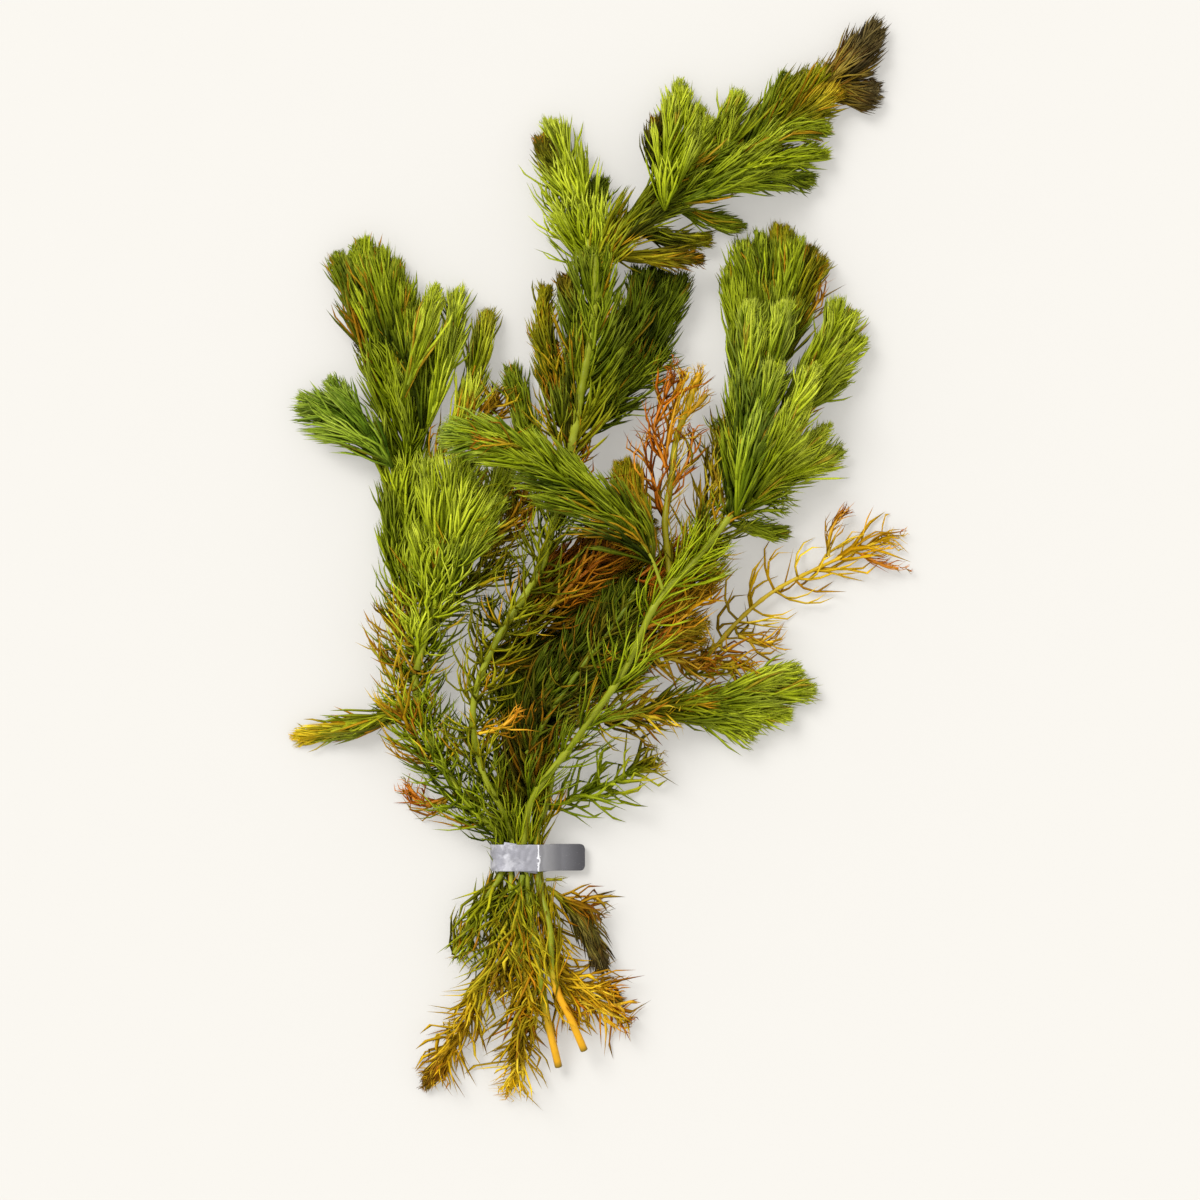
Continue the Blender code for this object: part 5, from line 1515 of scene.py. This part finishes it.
@dataclass(frozen=True)
class LeafPainter:
    """Colours each leaf from foot to tip: dark or light, paler at its tip, some faded or rusty in part.

    The dark foot is painted shade, where the leaves crowd round the stem. It and the tip's colour have a
    share of the leaf and a strength. A fleck starts somewhere in `fleck_start` and is full after
    `fleck_ease`.
    """

    # Painted shade at each leaf's foot, where leaves crowd round the stem.
    foot_length: float = 0.5
    foot_strength: float = 0.6
    tip_start: float = 0.45
    tip_power: float = 1.3
    tip_strength: Span = (0.0, 0.8)
    fleck_start: Span = (-0.3, 0.6)
    fleck_ease: float = 0.3
    fleck_strength: Span = (0.6, 1.0)

    def paint(self, ends: tuple[Array, Array], flecked: Array, level: Array,
              share: Array, chance: np.random.Generator) -> Array:
        """Colour the vertices of some leaves.

        Args:
            ends: the five colours of each leaf at its foot and at its tip.
            flecked: how likely each leaf is flecked.
            level: how light each leaf is, from 0 to 1.
            share: how far along its leaf each vertex is.
            chance: the piece's random numbers.

        Returns:
            A linear colour for each vertex.
        """
        n = len(level)
        along = share[..., None, None]
        tints = ends[0][:, None] * (1 - along) + ends[1][:, None] * along
        deep, body, light, tip_tint, fleck_tint = (tints[:, :, k] for k in range(5))
        dark = np.clip(1.0 - 2.0 * level, 0.0, 1.0)[:, None, None]
        pale = np.clip(2.0 * level - 1.0, 0.0, 1.0)[:, None, None]
        colour = body * (1 - dark - pale) + deep * dark + light * pale
        # Painted shade: each leaf darkens towards its foot.
        foot = np.clip(1.0 - share / self.foot_length, 0.0, 1.0)[..., None] * self.foot_strength
        colour = colour * (1 - foot) + deep * foot
        near_tip = np.clip((share - self.tip_start) / (1.0 - self.tip_start), 0.0, 1.0) ** self.tip_power
        tip = (near_tip * chance.uniform(*self.tip_strength, (n, 1)))[..., None]
        colour = colour * (1 - tip) + tip_tint * tip
        has_fleck = (chance.uniform(0.0, 1.0, n) < flecked)[:, None]
        edge = chance.uniform(*self.fleck_start, (n, 1))
        covered = has_fleck * np.clip((share - edge) / self.fleck_ease, 0.0, 1.0)
        covered = (covered * chance.uniform(*self.fleck_strength, (n, 1)))[..., None]
        return colour * (1 - covered) + fleck_tint * covered


@dataclass(frozen=True)
class StripGap:
    """Where leaves would lie over the lead strip, which holds everything down. Sizes are in millimetres."""

    ends: Span = (-8.0, 17.0)
    tail_start: float = 6.5
    height: float = 6.2
    tail_height: float = 1.8
    wide_end: float = 3.0
    half_width: float = 3.6
    wide_half: float = 4.4

    def covers(self, place: Array) -> Array:
        """Tell which leaves would lie over the strip.

        Args:
            place: the places of each leaf's vertices.

        Returns:
            True for each leaf that would.
        """
        x, y, z = place[..., 0], place[..., 1], place[..., 2]
        top = np.where(x < self.tail_start, self.height, self.tail_height)
        edge = np.where(x < self.wide_end, self.wide_half, self.half_width)
        beside = (x > self.ends[0]) & (x < self.ends[1])
        return ((np.abs(y) < edge) & beside & (z > top)).any(axis=1)


@dataclass(frozen=True)
class LeafMaker:
    """Grows the leaves of a shoot into a piece's mesh."""

    forms: dict[str, LeafForm]
    planner: LeafPlanner = LeafPlanner()
    bender: LeafBender = LeafBender()
    painter: LeafPainter = LeafPainter()
    gap: StripGap = StripGap()
    tone_spread: float = 0.07
    tip_share: float = 0.95

    def grow(self, branch: Branch, store: MeshStore) -> int:
        """Grow every leaf of a shoot.

        Args:
            branch: the shoot.
            store: takes the faces.

        Returns:
            The number of leaves.
        """
        plan, chance, length = branch.plan, branch.chance, branch.axis.length
        batch = self.planner.plan(branch)
        n = len(batch.start)
        mixed = chance.normal(0.0, self.tone_spread, n)
        feet, flecked = read_tones(plan.tones, batch.start / length + mixed)
        tips, _ = read_tones(plan.tones, (batch.start + self.tip_share * batch.length) / length + mixed)
        kind = chance.integers(0, len(branch.habit.forks), n)
        for k, name in enumerate(branch.habit.forks):
            rows = np.nonzero(kind == k)[0]
            if not len(rows):
                continue
            faces = self.forms[name].faces
            place, share = self.bender.bend(branch, self.forms[name], batch.rows(rows))
            ends = feet[rows], tips[rows]
            colours = self.painter.paint(ends, flecked[rows], batch.level[rows], share, chance)
            clear = ~self.gap.covers(place)
            count = int(clear.sum())
            offsets = np.arange(count)[:, None] * len(faces.points)
            copies = Faces(place[clear], faces.loops[None, :] + offsets, np.tile(faces.totals, (count, 1)))
            store.add(copies, colours[clear], Part.LEAF)
        return n


@dataclass(frozen=True)
class StemMaker:
    """Grows the stem of a shoot as a bevelled curve. Lengths are in millimetres.

    Where the whorls are more than `open_spacing` apart the stem shows, so it has finer steps and swells at
    each whorl. Where they are less than `sparse_spacing` apart, leaves hide its last `hidden_tip`.
    """

    open_spacing: float = 3.0
    sparse_spacing: float = 10.0
    fine_step: float = 0.9
    coarse_step: float = 2.2
    hidden_tip: float = 3.0
    swelling: float = 0.22
    swelling_width: float = 0.9
    whorl_seed: int = 7
    sway: float = 0.12
    sway_lengths: tuple[float, float, float] = (7.0, 5.0, 6.0)
    clearance: float = 0.1
    # Painted highlight: the share of the stem tone's light colour laid over its body colour, and how it
    # swells and fades along the stem.
    light: float = 0.25
    light_change: float = 0.3
    light_length: float = 4.0

    def radii(self, branch: Branch, along: Array) -> Array:
        """Settle how thick the stem is.

        Args:
            branch: the shoot.
            along: lengths along the stem.

        Returns:
            The radius at each.
        """
        radius = np.interp(along / branch.axis.length, (0.0, 1.0), branch.plan.stem)
        if branch.habit.spacing > self.open_spacing:
            whorls = branch.whorls(np.random.default_rng(self.whorl_seed))
            near = np.min(np.abs(along[:, None] - whorls[None, :]), axis=1)
            radius = radius * (1.0 + self.swelling * np.exp(-((near / self.swelling_width) ** 2)))
        return radius

    def model(self, points: Array, radius: Array) -> Faces:
        """Model the stem.

        Args:
            points: the places of its middle line.
            radius: its radius at each.

        Returns:
            Its faces.
        """
        curve = bpy.data.curves.new("stem", "CURVE")
        curve.dimensions = "3D"
        curve.bevel_depth = MM
        curve.bevel_resolution = 2
        curve.use_fill_caps = True
        spline = curve.splines.new("POLY")
        spline.points.add(len(points) - 1)
        spline.points.foreach_set("co", np.concatenate([points * MM, np.ones((len(points), 1))], 1).ravel())
        spline.points.foreach_set("radius", radius)
        piece = put("stem", curve)
        choose(piece)
        bpy.ops.object.convert(target="MESH")
        return Faces.take(piece)

    def grow(self, branch: Branch, store: MeshStore) -> None:
        """Grow the stem of a shoot.

        Args:
            branch: the shoot.
            store: takes the faces.
        """
        spacing, length = branch.habit.spacing, branch.axis.length
        step = self.fine_step if spacing > self.open_spacing else self.coarse_step
        end = length - (self.hidden_tip if spacing < self.sparse_spacing else 0.0)
        along = np.linspace(0.0, end, max(int(end / step), 4))
        radius = self.radii(branch, along)
        first, second, third = self.sway_lengths
        sway = np.stack([np.sin(along / first + 1.0), np.cos(along / second), np.sin(along / third)], axis=1)
        points = branch.axis.point(along) + sway * self.sway
        points[:, 2] = np.maximum(points[:, 2], radius + self.clearance)
        faces = self.model(points, radius)
        nearest = np.argmin(((faces.points[:, None, :] - points[None, :, :]) ** 2).sum(-1), axis=1)
        spots = along[nearest]
        tints, _ = read_tones(branch.plan.stem_tones or branch.plan.tones, spots / length)
        # Painted highlight: a share of the light colour, swelling and fading along the stem, over its body
        # colour.
        change = self.light_change * np.sin(spots / self.light_length) * branch.chance.uniform(0.3, 1.0)
        light = (self.light + change)[:, None]
        store.add(faces, tints[:, 1] * (1 - light) + tints[:, 2] * light, Part.STEM)


@dataclass
class SprigBuilder:
    """Builds sprigs, each as a piece that stands for its solid, and counts their triangles."""

    leaves: LeafMaker
    stems: StemMaker
    finishes: list[Material]
    triangles: int = 0

    def build(self, sprig: Sprig) -> Object:
        """Grow the sprig's shoots into one mesh and place it.

        Args:
            sprig: the piece to build.

        Returns:
            The piece.
        """
        chance = np.random.default_rng(zlib.crc32(sprig.node.encode()))
        store = MeshStore()
        grown = 0
        for plan in sprig.shoots:
            branch = Branch(plan, chance)
            grown += self.leaves.grow(branch, store)
            self.stems.grow(branch, store)
        name = sprig.node + "_growth"
        piece = put(name, store.mesh(name, self.finishes))
        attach(piece, "root")
        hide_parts(sprig.node)
        log.info("%s: %d leaves, %d triangles", name, grown, store.triangles)
        self.triangles += store.triangles
        return piece


@dataclass(frozen=True)
class Creases:
    """How the strip's upper run was pressed by hand. Sizes are in millimetres.

    Its dents are deeper on the left of `left_end`. One raised fold sways across it, and the tail is calmer.
    """

    soft_waves: Span = (0.35, 0.45)
    soft_depth: float = 0.05
    soft_depth_left: float = 0.06
    fine_waves: Span = (1.1, 0.9)
    fine_depth: float = 0.02
    fine_depth_left: float = 0.05
    left_end: float = 5.0
    left_ease: float = 0.8
    fold_at: float = 5.2
    fold_height: float = 0.16
    fold_width: float = 0.35
    fold_sway: float = 0.25
    fold_waves: float = 1.3
    calm: float = 0.8
    calm_ease: float = 2.0

    def dents(self, x: Array, y: Array, waves: Span, layer: float) -> Array:
        """Read smooth dents of one size; each layer has its own."""
        return np.array([noise.noise(Vector((a * waves[0], b * waves[1], layer))) for a, b in zip(x, y)])

    def height(self, x: Array, y: Array, tail_start: float) -> Array:
        """Settle how far the upper run is raised or sunk.

        Args:
            x: places along the strip.
            y: places across it.
            tail_start: where the pressed tail starts.

        Returns:
            The height at each place.
        """
        left = 1.0 / (1.0 + np.exp((x - self.left_end) / self.left_ease))
        from_fold = x - self.fold_at - self.fold_sway * np.sin(y * self.fold_waves)
        fold = self.fold_height * np.exp(-((from_fold / self.fold_width) ** 2))
        soft = self.dents(x, y, self.soft_waves, 3.0) * (self.soft_depth + self.soft_depth_left * left)
        fine = self.dents(x, y, self.fine_waves, 9.0) * (self.fine_depth + self.fine_depth_left * left)
        flat_tail = np.clip((x - tail_start) / self.calm_ease, 0.0, 1.0)
        return (soft + fine + fold) * (1.0 - self.calm * flat_tail)


@dataclass
class LeadStrip:
    """The lead strip bent round the stems, its two ends pressed together. Sizes are in millimetres.

    The lower run is `lower_short` shorter than the tail. The upper run falls smoothly from `crown`, from
    `fall_lead` before the pinch on, and `fall_more` further. The inner turn (`lap`) lies askew under it and
    shows at two corners.
    """

    width: float = 6.6
    thickness: float = 1.0
    left: float = -7.1
    tail_end: float = 16.5
    lower_short: float = 0.3
    crown: float = 7.0
    pinch_start: float = 5.3
    pinch_end: float = 9.2
    fall_lead: float = 0.8
    fall_more: float = 2.2
    fall_steps: int = 12
    bend_points: int = 17
    tail_gap: float = 0.3
    askew: float = 1.2
    askew_at: tuple[float, float, float, float] = (-4.5, 2.5, 5.5, 8.0)
    corner: float = 1.2
    edge: float = 0.12
    lap_middle: float = 0.5
    lap_length: float = 9.4
    lap_turn: float = -9.0
    lap_thickness: float = 0.6
    lap_edge: float = 0.15
    lap_sunk: float = 0.05
    lengthwise: int = 260
    crosswise: int = 22
    creases: Creases = Creases()

    def line(self) -> tuple[Array, Array]:
        """Draw the strip's middle line as it is seen from its edge.

        Returns:
            The line's places and which of them are on the lower run.
        """
        half = self.thickness / 2
        crown = self.crown - half
        bend = (crown - half) / 2
        left = self.left + half + bend
        low = [(x, half) for x in (self.tail_end - self.lower_short, self.pinch_end, self.pinch_start, 0.0)]
        angles = np.linspace(-math.pi / 2, -1.5 * math.pi, self.bend_points)
        turned = [(left + bend * math.cos(a), half + bend + bend * math.sin(a)) for a in angles]
        tail = 3 * half + self.tail_gap
        fall_start = self.pinch_start - self.fall_lead
        fall_length = self.pinch_end - self.pinch_start + self.fall_more
        fall = [(fall_start + t * fall_length, tail + (crown - tail) * (0.5 + 0.5 * math.cos(math.pi * t)))
                for t in (i / self.fall_steps for i in range(self.fall_steps + 1))]
        line = np.array(low + turned + [(0.0, crown)] + fall + [(self.tail_end, tail)])
        return line, np.arange(len(line)) <= len(low) + self.bend_points // 2

    def lay(self, flat: Array) -> Array:
        """Lay a flat grid along the middle line, with rounded corners and creases.

        Args:
            flat: the grid's vertices, on a square of side 1 round the origin.

        Returns:
            Their places in millimetres.
        """
        line, under = self.line()
        run = run_along(line)
        along = (flat[:, 0] + 0.5) * run[-1]
        cut = np.maximum(self.corner - np.minimum(along, run[-1] - along), 0.0)
        limit = self.width / 2 - self.corner + np.sqrt(np.maximum(self.corner**2 - cut**2, 0.0))
        across = flat[:, 1] * self.width * limit / (self.width / 2)
        x = np.interp(along, run, line[:, 0])
        over = along > run[np.nonzero(under)[0][-1]]
        tilt = np.interp(x, self.askew_at, (self.askew, 0.0, -self.askew / 2, 0.0))
        y = across + np.where(over, 0.0, tilt)
        creased = np.where(over, self.creases.height(x, y, self.pinch_end), 0.0)
        return np.stack([x, y, np.interp(along, run, line[:, 1]) + creased], axis=1)

    def round_edges(self, piece: Object, width: float) -> bpy.types.Modifier:
        """Add a small bevel.

        Args:
            piece: the piece that takes it.
            width: its width in millimetres.

        Returns:
            The bevel.
        """
        bevel = piece.modifiers.new("edge", "BEVEL")
        bevel.width = width * MM
        bevel.segments = 2
        return bevel

    def sheet(self) -> Object:
        """Model the sheet that is seen: a grid laid along the line, with its wall and rounded edges.

        Returns:
            The sheet.
        """
        bpy.ops.object.select_all(action="DESELECT")
        bpy.ops.mesh.primitive_grid_add(
            size=1.0, x_subdivisions=self.lengthwise, y_subdivisions=self.crosswise)
        sheet = bpy.context.object
        places = self.lay(np.array([vertex.co for vertex in sheet.data.vertices])) * MM
        sheet.data.vertices.foreach_set("co", places.ravel().astype(np.float32))
        sheet.data.update()
        wall = sheet.modifiers.new("wall", "SOLIDIFY")
        wall.thickness = self.thickness * MM
        wall.offset = 0.0
        wall.use_even_offset = True
        bevel = self.round_edges(sheet, self.edge)
        bevel.limit_method = "ANGLE"
        bevel.angle_limit = math.radians(50)
        for name in ("wall", "edge"):
            bpy.ops.object.modifier_apply(modifier=name)
        return sheet

    def inner_lap(self) -> Object:
        """Model the strip's inner turn.

        Returns:
            The inner turn.
        """
        top = self.crown - self.thickness + self.lap_sunk
        bpy.ops.object.select_all(action="DESELECT")
        bpy.ops.mesh.primitive_cube_add(
            size=1.0, location=(self.lap_middle * MM, 0.0, (top - self.lap_thickness / 2) * MM),
            rotation=(0.0, 0.0, math.radians(self.lap_turn)))
        lap = bpy.context.object
        lap.scale = (self.lap_length * MM, self.width * MM, self.lap_thickness * MM)
        bpy.ops.object.transform_apply(location=True, rotation=True, scale=True)
        self.round_edges(lap, self.lap_edge)
        bpy.ops.object.modifier_apply(modifier="edge")
        return lap

    def build(self, finish: Material) -> Object:
        """Model the strip and place it.

        Args:
            finish: the lead's material.

        Returns:
            The strip.
        """
        strip = self.sheet()
        strip.name = strip.data.name = "creased_lead_strip"
        choose(strip, self.inner_lap())
        bpy.ops.object.join()
        bpy.ops.object.mode_set(mode="EDIT")
        bpy.ops.mesh.select_all(action="SELECT")
        bpy.ops.mesh.normals_make_consistent(inside=False)
        bpy.ops.object.mode_set(mode="OBJECT")
        strip.data.shade_smooth()
        strip.data.set_sharp_from_angle(angle=math.radians(40))
        strip.data.materials.clear()
        strip.data.materials.append(finish)
        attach(strip, "root")
        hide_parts("lead_strip")
        log.info("lead strip: %d faces", len(strip.data.polygons))
        return strip


@dataclass
class Studio:
    """The pale floor, soft light and the camera that looks straight down.

    The view's middle and width are in millimetres. The sun's place is only the side that it shines from, and
    its spread is its angle as it is seen from the bunch.
    """

    middle: Span = (20.25, 64.25)
    view: float = 300.0
    lens: float = 200.0
    sensor: float = 36.0
    floor_size: float = 6.0
    sun_place: tuple[float, float, float] = (-0.8, 0.9, 1.2)
    sun_spread: float = 0.5
    sun_power: float = 3.1
    sky_colour: tuple[float, ...] = (1.0, 0.995, 0.985, 1.0)
    sky_power: float = 1.15

    def floor(self, finish: Material) -> None:
        """Add the floor.

        Args:
            finish: its material.
        """
        bpy.ops.object.select_all(action="DESELECT")
        bpy.ops.mesh.primitive_plane_add(size=self.floor_size)
        floor = bpy.context.object
        floor.name = "floor"
        floor.data.materials.append(finish)

    def lights(self) -> None:
        """Add one even, soft-edged light from afar, and the light of the sky."""
        lamp = bpy.data.lights.new("key", "SUN")
        lamp.energy = self.sun_power
        lamp.angle = self.sun_spread
        item = put("key", lamp)
        item.location = self.sun_place
        item.rotation_euler = (-Vector(self.sun_place)).to_track_quat("-Z", "Y").to_euler()
        world = bpy.data.worlds.new("studio")
        bpy.context.scene.world = world
        world.use_nodes = True
        sky = world.node_tree.nodes["Background"]
        sky.inputs["Color"].default_value = self.sky_colour
        sky.inputs["Strength"].default_value = self.sky_power

    def camera(self) -> None:
        """Add the camera, as high as its lens needs for the width of the view."""
        lens = bpy.data.cameras.new("camera")
        lens.lens = self.lens
        lens.sensor_width = self.sensor
        camera = put("camera", lens)
        height = self.view * MM * self.lens / self.sensor
        camera.location = (self.middle[0] * MM, self.middle[1] * MM, height)
        bpy.context.scene.camera = camera

    def build(self, finish: Material) -> None:
        """Build the studio.

        Args:
            finish: the floor's material.
        """
        self.floor(finish)
        self.lights()
        self.camera()
        bpy.context.scene.view_settings.view_transform = "Standard"


def write_size() -> None:
    """Bring the view layer up to date."""

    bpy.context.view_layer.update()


def main() -> None:
    """Build every piece of the bunch and the studio round it."""
    logging.basicConfig(level=logging.INFO, format="%(message)s")
    Studio().build(FloorFinish().make())
    LeadStrip().build(LeadFinish().make())
    builder = SprigBuilder(LeafMaker(leaf_forms()), StemMaker(), [LeafFinish().make(), StemFinish().make()])
    for sprig in RIGHT_PLANT + SIDE_PLANT + MIDDLE_PLANT + LEFT_PLANT + HEART + FOOT:
        builder.build(sprig)
    log.info("all sprigs: %d triangles", builder.triangles)
    write_size()


if __name__ == "__main__":
    main()
